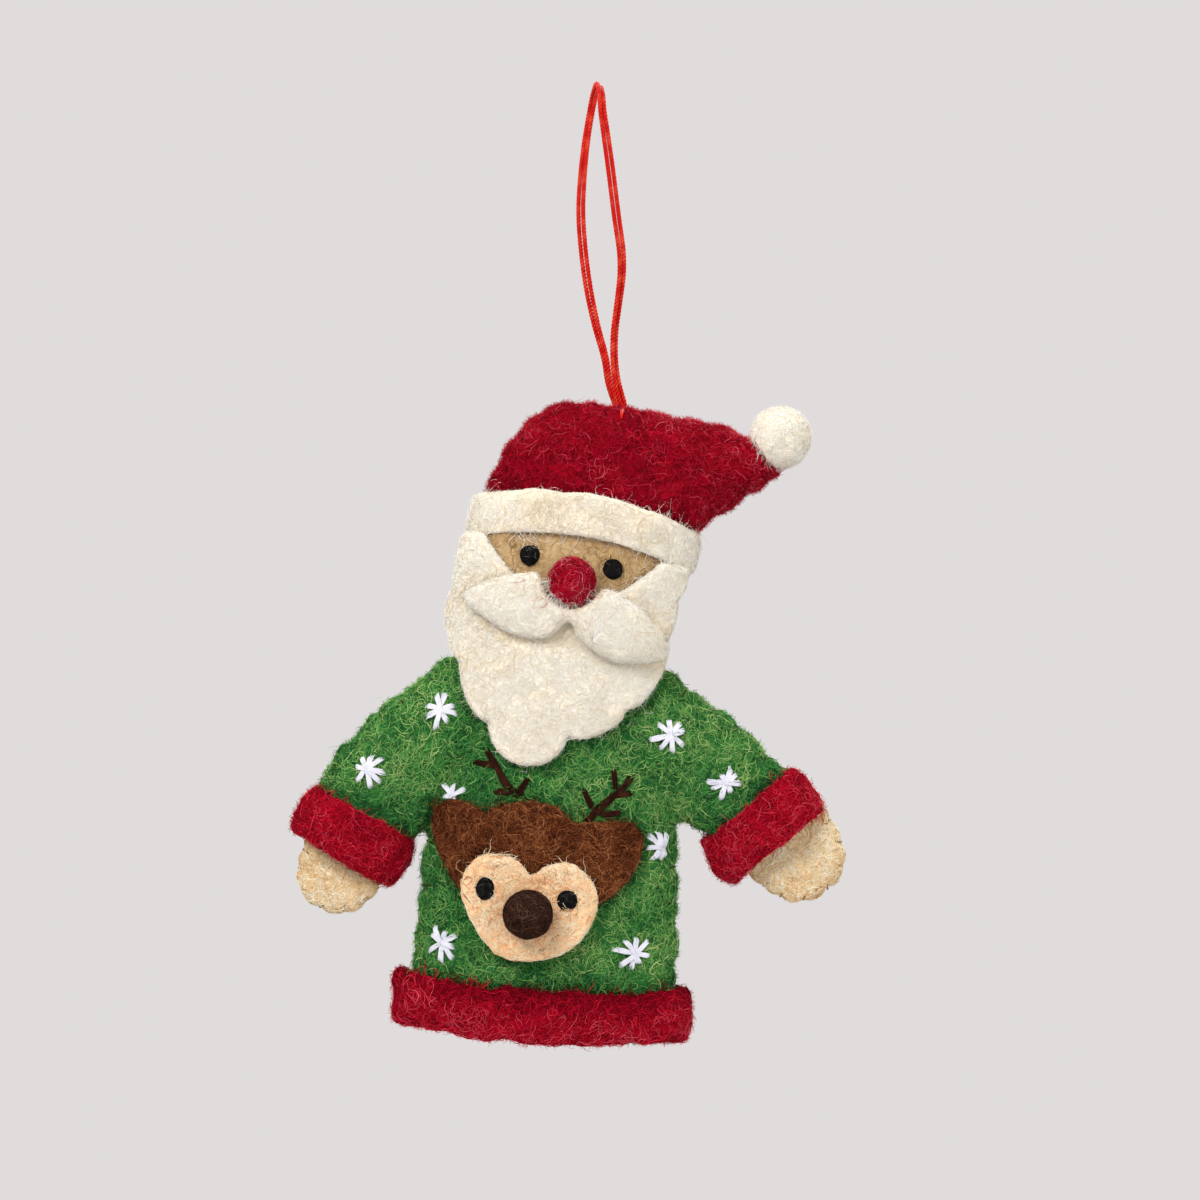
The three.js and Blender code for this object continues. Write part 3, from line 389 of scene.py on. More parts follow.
def section(angles):
    """Across and out of a rounded section's edge, each from -1 to 1."""
    return [np.sign(v) * np.abs(v) ** (2 / SECTION_POWER) for v in (np.cos(angles), np.sin(angles))]


def swell(across):
    """How far a rounded section stands out, from 1 in its middle to 0 at its edge."""
    return (1 - across**SECTION_POWER) ** (1 / SECTION_POWER)


# ---------------------------------------------------------------- meshes

SMOOTH_STEP = 0.5
RETURN_STEP = -0.51
EDGE_STEPS = 6
ARC_STEPS = 18
TUCK = 0.93


def new_mesh(name, points, faces):
    mesh = bpy.data.meshes.new(name)
    mesh.from_pydata([tuple(p) for p in points], [], [tuple(f) for f in faces])
    mesh.update()
    return mesh


def mesh_from(name, bm):
    mesh = bpy.data.meshes.new(name)
    bm.to_mesh(mesh)
    bm.free()
    return mesh


def read(items, key, width=3, kind=np.float32):
    """One property of every item of a mesh, as rows."""
    values = np.empty(len(items) * width, kind)
    items.foreach_get(key, values)
    return values.reshape(-1, width)


def points_of(mesh):
    return read(mesh.vertices, "co").astype(float)


def set_points(mesh, points):
    mesh.vertices.foreach_set("co", np.asarray(points, np.float32).ravel())
    mesh.update()


def normals_of(mesh):
    mesh.update()
    return read(mesh.vertex_normals, "vector").astype(float)


def mark(mesh, name, values):
    """Gives each point of a mesh a number for its material to read."""
    data = mesh.attributes.new(name, "FLOAT", "POINT").data
    data.foreach_set("value", values.astype(np.float32))


def tree_of(*meshes):
    points, faces = [], []
    for mesh in meshes:
        start = len(points)
        points.extend(Vector(p) for p in points_of(mesh))
        faces.extend([start + v for v in poly.vertices] for poly in mesh.polygons)
    return BVHTree.FromPolygons(points, faces)


def ring_faces(a, b, size):
    """Faces between two rings of points that start at a and at b."""
    return [(a + i, a + (i + 1) % size, b + (i + 1) % size, b + i) for i in range(size)]


def turned_out(mesh, cuts=0):
    """Turns all faces of a mesh outward, and divides its edges smoothly if there are cuts."""
    bm = bmesh.new()
    bm.from_mesh(mesh)
    bmesh.ops.recalc_face_normals(bm, faces=bm.faces)
    if cuts:
        bmesh.ops.subdivide_edges(bm, edges=bm.edges, cuts=cuts, use_grid_fill=True, smooth=0.3)
    bm.to_mesh(mesh)
    bm.free()


def smoothed(mesh, rounds):
    """Moves each point towards the middle of its neighbours, in turns that keep the size."""
    a, b = read(mesh.edges, "vertices", 2, np.int32).T
    p = points_of(mesh)
    count = np.bincount(np.concatenate([a, b]), minlength=len(p))[:, None]
    for turn in range(rounds):
        for step in (SMOOTH_STEP, RETURN_STEP) if turn % 2 else (SMOOTH_STEP,):
            total = [np.bincount(a, p[b, k], len(p)) + np.bincount(b, p[a, k], len(p)) for k in range(3)]
            p = p + step * (np.stack(total, 1) / count - p)
    set_points(mesh, p)
    return mesh


def remeshed(name, shapes, voxel, rounds=6, cuts=()):
    """One skin round several closed shapes, cut first by planes given as (point, normal)."""
    bm = bmesh.new()
    for points, faces in shapes:
        verts = [bm.verts.new(p) for p in points]
        for face in faces:
            bm.faces.new([verts[i] for i in face])
    bmesh.ops.recalc_face_normals(bm, faces=bm.faces)
    for point, normal in cuts:
        everything = bm.verts[:] + bm.edges[:] + bm.faces[:]
        cut = bmesh.ops.bisect_plane(
            bm, geom=everything, dist=1e-4, plane_co=point, plane_no=normal, clear_outer=True
        )
        rim = [e for e in cut["geom_cut"] if isinstance(e, bmesh.types.BMEdge)]
        bmesh.ops.holes_fill(bm, edges=rim)
    rough = mesh_from(name + "_rough", bm)
    holder = add_object(name + "_rough", rough)
    modifier = holder.modifiers.new("remesh", "REMESH")
    modifier.mode = "VOXEL"
    modifier.voxel_size = voxel
    bpy.context.view_layer.update()
    ready = holder.evaluated_get(bpy.context.evaluated_depsgraph_get())
    mesh = bpy.data.meshes.new_from_object(ready)
    mesh.name = name
    bpy.data.objects.remove(holder)
    bpy.data.meshes.remove(rough)
    return smoothed(mesh, rounds)


def half_form(rows, side, matrix, rim=1.1, seam=0.06):
    """The front (side -1) or back (side 1) half of a stuffed form, with a flat side at the seam."""
    edge = edge_of(rows, EDGE_STEPS)
    half = len(edge) // 2
    across, out = section(np.linspace(0, math.pi, ARC_STEPS + 1))
    rings = []
    for k in range(1, half):
        left, right = edge[k], edge[-k]
        middle = (left + right) / 2
        reach = right - middle
        lip = min(rim, middle[1])
        bow = lip + (middle[1] - lip) * np.abs(out)
        dome = np.stack([middle[0] + across * reach[0], side * bow, middle[2] + across * reach[2]], 1)
        flat = dome[1:-1][::-1].copy()
        flat[:, 1] = side * seam
        rings.append(np.vstack([dome, flat]))
    first, final = (edge[k] * (1, 0, 1) + (0, side * rim / 2, 0) for k in (0, half))
    points = np.vstack([first, *rings, final])
    size = len(rings[0])
    end = len(points) - 1
    faces = []
    for i in range(size):
        j = (i + 1) % size
        faces.append((0, 1 + j, 1 + i))
        faces += [(a + i, a + j, a + size + j, a + size + i) for a in range(1, end - size, size)]
        faces.append((end - size + i, end - size + j, end))
    return placed(points, matrix), faces


def push_out(points, tree, gap):
    """Moves each point that is inside a body, or nearer to it than the gap, out to the gap."""
    moved = np.array(points, float)
    for i, p in enumerate(moved):
        place, normal, _, _ = tree.find_nearest(Vector(p))
        if place is not None:
            away = (Vector(p) - place).dot(normal)
            if away < gap:
                moved[i] = place + normal * gap
    return moved


def roughen(mesh, *layers):
    """Raises and lowers the skin by layers of noise: (height, size, seed)."""
    p, n = points_of(mesh), normals_of(mesh)
    for height, size, seed in layers:
        p = p + n * (height * value_noise(p, size, seed))[:, None]
    set_points(mesh, p)


def tucked(mesh, matrix, width, depth, reach, arch=0.0):
    """Draws the skin in where a band goes round it, so that the band lies over it."""
    p = unplaced(points_of(mesh), matrix)
    across = np.abs(2 * p[:, 0] / width)
    ratio = (across**SECTION_POWER + np.abs(2 * p[:, 1] / depth) ** SECTION_POWER) ** (1 / SECTION_POWER)
    height = np.abs(p[:, 2] - arch * (1 - np.minimum(across, 1) ** 2))
    near = eased(np.clip((reach + 1.0 - height) / 2.0, 0, 1)) * ((ratio > TUCK) & (ratio < 1.3))
    p[:, :2] *= (1 + near * (TUCK / np.maximum(ratio, 0.1) - 1))[:, None]
    set_points(mesh, placed(p, matrix))


def bulged(mesh, place, by, radius):
    """Moves the part of a mesh about a place (x, z) by a step, less and less further out."""
    p = points_of(mesh)
    near = np.exp(-(((p[:, [0, 2]] - place) ** 2).sum(1) / radius**2))
    set_points(mesh, p + near[:, None] * np.array(by))


def pulled_in(mesh, places, depth, radius):
    """Draws the skin in at each stitch: (point, inward direction)."""
    p = points_of(mesh)
    for point, inward in places:
        d = np.linalg.norm((p - point) * (1, 0.45, 1), axis=1)
        p = p + np.exp(-((d / radius) ** 2))[:, None] * depth * np.asarray(inward)
    set_points(mesh, p)


def mark_painted_shade(mesh, *trees, reach=2.6, middle=0.0, start=0.0):
    """Marks painted shade on a skin near the pieces on it, as their shadow: 1 where they touch, 0 at reach.

    The painted shade begins at start, with middle added where the skin faces straight forward or back,
    so that its rims stay lighter.
    """
    near = start + middle * np.clip((np.abs(normals_of(mesh)[:, 1]) - 0.8) / 0.18, 0, 1)
    for tree in trees:
        for i, q in enumerate(points_of(mesh)):
            gap = tree.find_nearest(Vector(q), reach)[3]
            if gap is not None:
                near[i] = max(near[i], 1 - gap / reach)
    mark(mesh, "painted_shade", near)


# ---------------------------------------------------------------- materials


def linear(r, g, b):
    """A colour as seen, 0 to 255, in Blender's linear values."""
    c = np.array([r, g, b]) / 255
    c = np.where(c <= 0.04045, c / 12.92, ((c + 0.055) / 1.055) ** 2.4)
    return (*c.tolist(), 1.0)


class Graph:
    """The nodes of a material or a world, made in order."""

    def __init__(self, owner):
        owner.use_nodes = True
        self.owner = owner
        self.nodes, self.links = owner.node_tree.nodes, owner.node_tree.links

    def node(self, kind, inputs=(), **settings):
        made = self.nodes.new("ShaderNode" + kind)
        for key, value in settings.items():
            setattr(made, key, value)
        self.put(made, inputs)
        return made

    def put(self, node, inputs):
        for key, value in dict(inputs).items():
            if isinstance(value, bpy.types.NodeSocket):
                self.links.new(value, node.inputs[key])
            else:
                node.inputs[key].default_value = value

    def shaded(self, inputs):
        """The material, with its shader's inputs set."""
        self.put(self.nodes["Principled BSDF"], inputs)
        return self.owner

    def math(self, operation, a, b=0.0):
        return self.node("Math", {0: a, 1: b}, operation=operation).outputs[0]

    def span(self, value, low, high, to_low=0.0, to_high=1.0):
        inputs = {"Value": value, "From Min": low, "From Max": high, "To Min": to_low, "To Max": to_high}
        return self.node("MapRange", inputs, interpolation_type="SMOOTHSTEP").outputs[0]

    def mix(self, share, a, b):
        return self.node("Mix", {0: share, 6: a, 7: b}, data_type="RGBA").outputs[2]

    def over(self, colour, share, amount, other):
        """A colour with some of another laid over it."""
        return self.mix(self.math("MULTIPLY", share, amount), colour, linear(*other))

    def noise(self, place, scale, detail=2.0, roughness=0.5):
        inputs = {"Vector": place, "Scale": scale, "Detail": detail, "Roughness": roughness}
        return self.node("TexNoise", inputs)

    def marked(self, name):
        return self.node("Attribute", attribute_name=name).outputs["Fac"]

    def place(self, offset=(0, 0, 0)):
        """The piece's own coordinates, in millimetres."""
        coords = self.node("TexCoord").outputs["Object"]
        inputs = {"Vector": coords, "Location": offset, "Scale": (1 / MM,) * 3}
        return self.node("Mapping", inputs).outputs[0]

    def vector(self, operation, inputs):
        return self.node("VectorMath", inputs, operation=operation).outputs[0]

    def strands(self, place, scale, width, offset):
        """Thin curly lines, 1 on a fibre and 0 between fibres."""
        own = self.vector("ADD", {0: place, 1: (offset, -offset, 2 * offset)})
        swirl = self.noise(own, scale * 0.45, 1.0).outputs[1]
        centred = self.vector("SUBTRACT", {0: swirl, 1: (0.5, 0.5, 0.5)})
        curled = self.vector("ADD", {0: own, 1: self.vector("SCALE", {0: centred, "Scale": 1.6 / scale})})
        value = self.noise(curled, scale, 0.0).outputs[0]
        off = self.math("ABSOLUTE", self.math("SUBTRACT", value, 0.5))
        return self.span(off, 0.0, width, 1.0, 0.0)


def new_graph(name):
    material = bpy.data.materials.new(name)
    return Graph(material)


def felt(name, deep, body, pale, fibre, strength=1.0, sheen=0.15, fine=1.0, relief=0.5, lines=1.0,
         mottle=0.5, pit=1.0):
    """Wool felt: mottled body colour, dark pits, and curly fibres of two lighter colours.

    Where its skin is marked with painted shade, the colour goes towards the deep one.
    """
    g = new_graph(name)
    place = g.place()
    patches = g.noise(place, 0.16, 3.0).outputs[0]
    shade = g.noise(g.place((3.1, 7.7, 1.9)), 0.22, 2.0).outputs[0]
    pits = g.noise(place, 1.15 * fine, 4.0, 0.62).outputs[0]
    grain = g.noise(place, 5.5 * fine, 2.0, 0.6).outputs[0]
    first = g.strands(place, 0.85 * fine, 0.028, 3.7)
    second = g.strands(place, 1.25 * fine, 0.036, 11.9)
    third = g.strands(place, 0.6 * fine, 0.018, 23.1)
    fourth = g.strands(place, 1.9 * fine, 0.05, 31.3)
    colour = g.mix(g.span(pits, 0.3, 0.62, 1 - pit, 1.0), linear(*deep), linear(*body))
    for share, amount, other in (
        (g.span(patches, 0.35, 0.7), 0.45 * strength, pale),
        (g.span(shade, 0.48, 0.72), mottle, deep),
        # painted shade: the deep colour where the skin is marked as shaded by nearby pieces
        (g.span(g.marked("painted_shade"), 0.1, 1.0), 0.75, deep),
        (fourth, 0.38 * lines, deep),
        (first, 0.6 * lines, pale),
        (second, 0.5 * lines, pale),
        (third, 0.75 * lines, fibre),
    ):
        colour = g.over(colour, share, amount, other)
    lift = g.math("MULTIPLY", first, 0.5)
    for part, height in ((second, 0.4), (third, 0.6), (pits, 1.1), (grain, 0.5)):
        lift = g.math("ADD", lift, g.math("MULTIPLY", part, height))
    bump = g.node("Bump", {"Strength": relief, "Distance": 0.0003, "Height": lift}).outputs[0]
    return g.shaded({
        "Base Color": colour, "Normal": bump, "Roughness": 0.95, "Specular IOR Level": 0.04,
        "Sheen Weight": sheen, "Sheen Roughness": 0.6, "Sheen Tint": linear(*fibre),
    })


def wool(name, *colours):
    """Loose fibres, each with its own tone, from the first colour to the last."""
    g = new_graph(name)
    along = g.noise(g.place(), 1.4, 1.0).outputs[0]
    own = g.math("MULTIPLY", g.math("SUBTRACT", along, 0.5), 0.35)
    ramp = g.node("ValToRGB", {"Fac": g.math("ADD", g.marked("tone"), own)})
    stops = ramp.color_ramp.elements
    while len(stops) < len(colours):
        stops.new(0.5)
    for i, colour in enumerate(colours):
        stops[i].position = i / (len(colours) - 1)
        stops[i].color = linear(*colour)
    return g.shaded({
        "Base Color": ramp.outputs[0], "Roughness": 0.85, "Specular IOR Level": 0.06,
        "Sheen Weight": 0.1, "Sheen Tint": linear(*colours[-1]),
    })


def thread(name, dark, body, light, roughness=0.7, shine=0.1, ply=5.0):
    """Sewing thread or cord, with fine lines along its plies.

    A cord's mesh marks the crevices between its plies, which get painted shade.
    """
    g = new_graph(name)
    place = g.place()
    fine = g.noise(place, ply, 2.0).outputs[0]
    broad = g.noise(place, 0.5, 1.0).outputs[0]
    colour = g.mix(g.span(fine, 0.32, 0.66), linear(*dark), linear(*body))
    colour = g.over(colour, g.span(broad, 0.4, 0.7), 0.5, light)
    # painted shade: a darker colour in the marked crevices between a cord's plies
    colour = g.mix(g.span(g.marked("painted_shade"), 0.1, 0.75), colour, linear(*[v * 0.6 for v in dark]))
    bump = g.node("Bump", {"Strength": 0.4, "Distance": 0.0001, "Height": fine}).outputs[0]
    return g.shaded({
        "Base Color": colour, "Normal": bump, "Roughness": roughness, "Specular IOR Level": shine,
        "Specular Tint": linear(*light),
    })


SMOOTH = dict(relief=0.3, lines=0.6)
red_felt = felt("red_felt", (60, 0, 8), (140, 2, 24), (176, 8, 36), (190, 24, 48))
green_felt = felt("green_felt", (8, 40, 20), (28, 90, 42), (70, 138, 64), (132, 170, 96), mottle=0.6)
cream_felt = felt("cream_felt", (224, 206, 174), (244, 233, 212), (250, 242, 228), (252, 247, 236),
                  strength=1.6, sheen=0.4, fine=1.4, relief=0.1, lines=0.3, pit=0.4)
tan_felt = felt("tan_felt", (156, 122, 80), (196, 164, 120), (210, 182, 136), (224, 200, 152), **SMOOTH)
straw_felt = felt("straw_felt", (204, 162, 108), (242, 214, 168), (246, 226, 188), (248, 234, 200), **SMOOTH)
brown_felt = felt("brown_felt", (30, 13, 7), (80, 38, 20), (128, 72, 42), (172, 112, 72))
peach_felt = felt("peach_felt", (234, 172, 118), (255, 214, 166), (254, 224, 186), (254, 234, 204), **SMOOTH)
black_felt = felt("black_felt", (6, 6, 6), (18, 17, 17), (32, 30, 30), (60, 60, 58), strength=0.8, sheen=0.05)
umber_felt = felt("umber_felt", (18, 9, 6), (42, 24, 17), (62, 38, 28), (96, 64, 48))

red_wool = wool("red_wool", (88, 0, 12), (146, 2, 26), (178, 8, 34), (198, 20, 46), (220, 96, 110))
band_wool = wool("band_wool", (92, 0, 14), (158, 4, 30), (192, 10, 38), (212, 24, 50), (222, 84, 100))
green_wool = wool("green_wool", (10, 56, 32), (36, 112, 56), (78, 154, 74), (128, 182, 94), (192, 214, 136))
cream_wool = wool("cream_wool", (226, 207, 170), (247, 237, 217), (253, 247, 235), (255, 253, 246))
tan_wool = wool("tan_wool", (156, 122, 80), (196, 164, 118), (220, 194, 146), (236, 218, 178))
straw_wool = wool("straw_wool", (204, 154, 94), (240, 204, 148), (252, 232, 190), (255, 249, 230))
brown_wool = wool("brown_wool", (38, 16, 8), (86, 40, 20), (132, 70, 36), (182, 118, 74))
peach_wool = wool("peach_wool", (210, 140, 88), (255, 206, 152), (255, 228, 184), (255, 247, 222))
black_wool = wool("black_wool", (10, 10, 10), (26, 25, 25), (52, 51, 50), (120, 120, 114))
umber_wool = wool("umber_wool", (22, 12, 8), (46, 28, 20), (78, 52, 40), (130, 96, 76))
nose_wool = wool("nose_wool", (112, 2, 20), (158, 8, 32), (186, 22, 46), (212, 80, 98), (238, 170, 178))
red_thread = thread("red_thread", (176, 10, 12), (232, 34, 26), (252, 98, 70),
                    roughness=0.32, shine=0.5, ply=7.0)
white_thread = thread("white_thread", (204, 202, 216), (228, 227, 236), (240, 240, 246),
                      roughness=0.35, shine=0.3, ply=7.0)
umber_thread = thread("umber_thread", (24, 10, 8), (48, 24, 17), (72, 40, 28), roughness=0.6)
olive_thread = thread("olive_thread", (34, 44, 18), (60, 70, 30), (84, 90, 44))
crimson_thread = thread("crimson_thread", (70, 0, 12), (110, 4, 24), (140, 12, 34))
tan_thread = thread("tan_thread", (122, 90, 50), (152, 118, 70), (178, 146, 98))

# ---------------------------------------------------------------- pieces

HAIR_SIDES = 3
ROOT_LIFT = 0.06
COVER_REACH = 1.2


def piece(name, mesh, material, body="figure", replaces=()):
    """Makes a mesh in millimetres into a piece of the model."""
    mesh.name = name
    mesh.transform(Matrix.Scale(MM, 4))
    mesh.materials.clear()
    mesh.materials.append(material)
    mesh.shade_smooth()
    obj = add_object(name, mesh)
    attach(obj, body)
    if replaces:
        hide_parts(*replaces)
    return obj


def hair_mesh(name, paths, widths, tones):
    """Thin closed tubes along paths (hair, point, xyz), each with its width and tone."""
    hairs, steps, _ = paths.shape
    run = unit(np.gradient(paths, axis=1))
    a = unit(np.cross(run, np.where(np.abs(run[..., 1:2]) > 0.9, (1.0, 0, 0), (0, 1.0, 0))))
    b = np.cross(run, a)
    taper = np.sin(np.linspace(0.12, 0.92, steps) * math.pi) ** 0.5
    radius = (widths[:, None] / 2 * taper[None, :])[..., None]
    rings = []
    for k in range(HAIR_SIDES):
        angle = 2 * math.pi * k / HAIR_SIDES
        rings.append(paths + (a * math.cos(angle) + b * math.sin(angle)) * radius)
    rings = np.stack(rings, 2).reshape(hairs, steps * HAIR_SIDES, 3)
    first = paths[:, :1] - run[:, :1] * widths[:, None, None] * 0.5
    last = paths[:, -1:] + run[:, -1:] * widths[:, None, None] * 0.5
    points = np.concatenate([rings, first, last], 1)
    corner, spot = [], []
    du, dv = 1 / HAIR_SIDES, 1 / (steps + 1)
    for s in range(steps - 1):
        v = (s + 1) / (steps + 1)
        for k, (p, q, r, t) in enumerate(ring_faces(s * HAIR_SIDES, (s + 1) * HAIR_SIDES, HAIR_SIDES)):
            u = k / HAIR_SIDES
            corner += [(p, q, r), (p, r, t)]
            spot += [[(u, v), (u + du, v), (u + du, v + dv)], [(u, v), (u + du, v + dv), (u, v + dv)]]
    top, foot = (steps - 1) * HAIR_SIDES, steps * HAIR_SIDES
    for k in range(HAIR_SIDES):
        n = (k + 1) % HAIR_SIDES
        u = k / HAIR_SIDES
        corner += [(foot, n, k), (foot + 1, top + k, top + n)]
        spot += [[(u + du / 2, 0), (u + du, dv), (u, dv)], [(u + du / 2, 1), (u, 1 - dv), (u + du, 1 - dv)]]
    size = points.shape[1]
    faces = (np.array(corner)[None] + (np.arange(hairs) * size)[:, None, None]).reshape(-1, 3)
    mesh = bpy.data.meshes.new(name)
    mesh.vertices.add(hairs * size)
    mesh.vertices.foreach_set("co", points.astype(np.float32).ravel())
    mesh.loops.add(len(faces) * 3)
    mesh.loops.foreach_set("vertex_index", faces.astype(np.int32).ravel())
    mesh.polygons.add(len(faces))
    mesh.polygons.foreach_set("loop_start", np.arange(len(faces), dtype=np.int32) * 3)
    mesh.update(calc_edges=True)
    mesh.validate()
    grid = math.ceil(math.sqrt(hairs))
    cell = np.stack([np.arange(hairs) % grid, np.arange(hairs) // grid], 1)
    uv = (cell[:, None, None] + 0.08 + 0.84 * np.array(spot, float)[None]) / grid
    mesh.uv_layers.new(name="OFBake").data.foreach_set("uv", uv.astype(np.float32).ravel())
    mark(mesh, "tone", np.repeat(tones, size))
    return mesh


def open_roots(mesh, count, near, rng):
    """Places on a skin that no felt within reach covers: their triangles, points and normals."""
    mesh.calc_loop_triangles()
    corners = points_of(mesh)[read(mesh.loop_triangles, "vertices", 3, np.int32)]
    across = np.cross(corners[:, 1] - corners[:, 0], corners[:, 2] - corners[:, 0])
    area = np.linalg.norm(across, axis=1)
    if near is not None:
        area = area * near(corners.mean(1))
    pick = rng.choice(len(corners), count * 3, p=area / area.sum())
    u, v = rng.random((2, count * 3))
    flip = u + v > 1
    u, v = np.where(flip, 1 - u, u), np.where(flip, 1 - v, v)
    c = corners[pick]
    root = c[:, 0] + (c[:, 1] - c[:, 0]) * u[:, None] + (c[:, 2] - c[:, 0]) * v[:, None]
    normal = unit(across[pick])
    shown = []
    for i in range(len(root)):
        n = Vector(normal[i])
        if felt_tree.ray_cast(Vector(root[i]) + n * ROOT_LIFT, n, COVER_REACH)[0] is None:
            shown.append(i)
            if len(shown) == count:
                break
    return pick[shown], root[shown], normal[shown]


def fibres(name, mesh, count, material, seed, length=4.5, width=0.15, lift=0.4, stand=0.3, curl=0.5,
           fuzz=1.2, near=None, shades=(1.3, 1.6), spread=0.8, steps=7):
    """Curly wool fibres that lie over a skin and its neighbours, a share of them standing off as fuzz.

    shades are the two numbers of a beta distribution: the higher the first, the paler the fibres.
    """
    rng = np.random.default_rng(seed)
    picked, root, normal = open_roots(mesh, count, near, rng)
    count = len(root)
    # depth: the painted shade marked on the skin under each fibre's root, which darkens its tone below.
    depth = np.zeros(len(mesh.vertices), np.float32)
    if "painted_shade" in mesh.attributes:
        mesh.attributes["painted_shade"].data.foreach_get("value", depth)
    depth = depth[read(mesh.loop_triangles, "vertices", 3, np.int32)[picked, 0]]
    field = 4.0 * value_noise(root, 5.0, 3) + rng.normal(0, spread, count)
    a = unit(np.cross(normal, np.stack([np.cos(field), 0.3 * rng.normal(size=count), np.sin(field)], 1)))
    b = np.cross(normal, a)
    standing = rng.random(count) < stand
    size = length * rng.uniform(0.45, 1.35, count) * np.where(standing, 0.55, 1.0)
    share = np.linspace(0, 1, steps)[None, :]
    along = share * size[:, None]
    bend = rng.normal(0, curl, count)[:, None] * along
    turn = along * rng.uniform(0.8, 2.0, count)[:, None] + rng.uniform(0, 6.3, count)[:, None]
    heading = bend + rng.uniform(0.3, 1.1, count)[:, None] * np.sin(turn)
    step = np.diff(along, axis=1, prepend=0)
    x, y = np.cumsum(np.cos(heading) * step, 1), np.cumsum(np.sin(heading) * step, 1)
    path = root[:, None] + a[:, None] * x[..., None] + b[:, None] * y[..., None]
    lying = 0.03 + lift * rng.random(count)[:, None] * np.sin(share * math.pi) ** 0.8
    raised = fuzz * rng.uniform(0.25, 1.0, count)[:, None] * share**1.2
    height = (np.where(standing[:, None], raised, lying) - 0.02).ravel()
    flat = path.reshape(-1, 3)
    for i, q in enumerate(flat):
        place, n, _, _ = felt_tree.find_nearest(Vector(q))
        flat[i] = place + n * height[i]
    path = flat.reshape(count, steps, 3)
    leap = np.linalg.norm(np.diff(path, axis=1), axis=2).max(1)
    good = leap < 1.8 * size / (steps - 1) + 0.2
    path, root, standing, depth, count = path[good], root[good], standing[good], depth[good], int(good.sum())
    # Fibres rooted in painted shade are darker, and lighter where the mark is below zero.
    tones = np.clip(rng.beta(*shades, count) + value_noise(root, 5.5, 7) * 0.2 - 0.5 * depth, 0, 1)
    widths = width * rng.uniform(0.55, 1.3, count) * np.where(standing, 0.75, 1.0)
    return piece(name, hair_mesh(name, path, widths, tones), material)


def tube_mesh(name, paths, radius, sides=6, flat=1.0, taper=0.0):
    """Closed tubes along paths, each a list of points, joined in one mesh."""
    points, faces = [], []
    for path in paths:
        path = np.asarray(path, float)
        run = unit(np.gradient(path, axis=0))
        a = unit(np.cross(run, (0, -1.0, 0) if abs(run[:, 1]).mean() < 0.8 else (1.0, 0, 0)))
        b = np.cross(a, run)
        share = np.linspace(0, 1, len(path))
        size = radius * (1 - taper * (2 * np.abs(share - 0.5)) ** 3)
        start = len(points)
        for i, q in enumerate(path):
            for k in range(sides):
                angle = 2 * math.pi * k / sides
                points.append(q + size[i] * (a[i] * math.cos(angle) + b[i] * flat * math.sin(angle)))
        end = len(points) - sides
        for ring in range(start, end, sides):
            faces += ring_faces(ring, ring + sides, sides)
        faces.append(tuple(start + k for k in reversed(range(sides))))
        faces.append(tuple(end + k for k in range(sides)))
    return new_mesh(name, points, faces)


# ---------------------------------------------------------------- cords


def strand_line(side):
    """Middle of one strand: the two touch, and turn a little round each other."""
    route = [STRAND_FEET[0], *CORD_ROUTE[1:-1], STRAND_FEET[1]]
    line = curve_through(route, 24, closed=False)
    run = unit(np.gradient(line, axis=0))
    across = unit(np.cross(np.cross(run, (1.0, 0, 0)), run))
    gone = lengths_along(line)
    turn = (0.5 + 0.35 * np.sin(gone / 9.0))[:, None]
    ends = np.minimum(1, np.minimum(gone, gone[-1] - gone) / 3.0 + 0.65)[:, None]
    apart = side * STRAND_PITCH / 2 * ends
    return line - (across * np.cos(turn) + np.cross(run, across) * np.sin(turn)) * apart


def plies(line, count, phase):
    """Helices round a line, for the plies of a twisted cord."""
    run = unit(np.gradient(line, axis=0))
    a = unit(np.cross(run, (1.0, 0, 0)))
    b = np.cross(run, a)
    gone = lengths_along(line)
    made = []
    for k in range(count):
        angle = (2 * math.pi * (gone / PLY_PITCH + k / count) + phase)[:, None]
        made.append(line + (a * np.cos(angle) + b * np.sin(angle)) * (STRAND / 2 - PLY_RADIUS))
    return made


def make_cord(name, side, node):
    line = strand_line(side)
    gone = lengths_along(line)
    line = at_lengths(line, gone, np.linspace(0, gone[-1], int(gone[-1] / STRAND_SPACING) + 1))
    mesh = tube_mesh(name, plies(line, 3, side), PLY_RADIUS, sides=PLY_SIDES)
    # Painted shade in the crevices: the parts of each ply that face in towards the strand's middle are marked
    # darker.
    around = points_of(mesh).reshape(3, len(line), PLY_SIDES, 3)
    out = np.linalg.norm(around - line[None, :, None], axis=3).ravel()
    mark(mesh, "painted_shade", np.clip((STRAND / 2 - out) / 0.2, 0, 1))
    obj = piece(name, mesh, red_thread, "hanger", [node])
    path = line[::6]
    if len(line) % 6 != 1:
        path = np.vstack([path, line[-1:]])


def make_knot():
    t = np.linspace(0, 2 * math.pi, 73)
    size = KNOT_DIAMETER / 2 - 0.6
    across, up = np.sin(t) + 2 * np.sin(2 * t), np.cos(t) - 2 * np.cos(2 * t)
    path = np.stack([across / 3, -np.sin(3 * t) / 2.2, up / 3], 1) * size - (0, 0, KNOT_DROP)
    mesh = tube_mesh("cord_knot_tied", [placed(path, hang_frame)], KNOT_CORD_RADIUS, sides=PLY_SIDES)
    piece("cord_knot_tied", mesh, red_thread, "anchor", ["cord_knot"])


make_cord("cord_left_strand", -1, "hanging_cord_left_strand")
make_cord("cord_right_strand", 1, "hanging_cord_right_strand")
make_knot()

# ---------------------------------------------------------------- head and hat


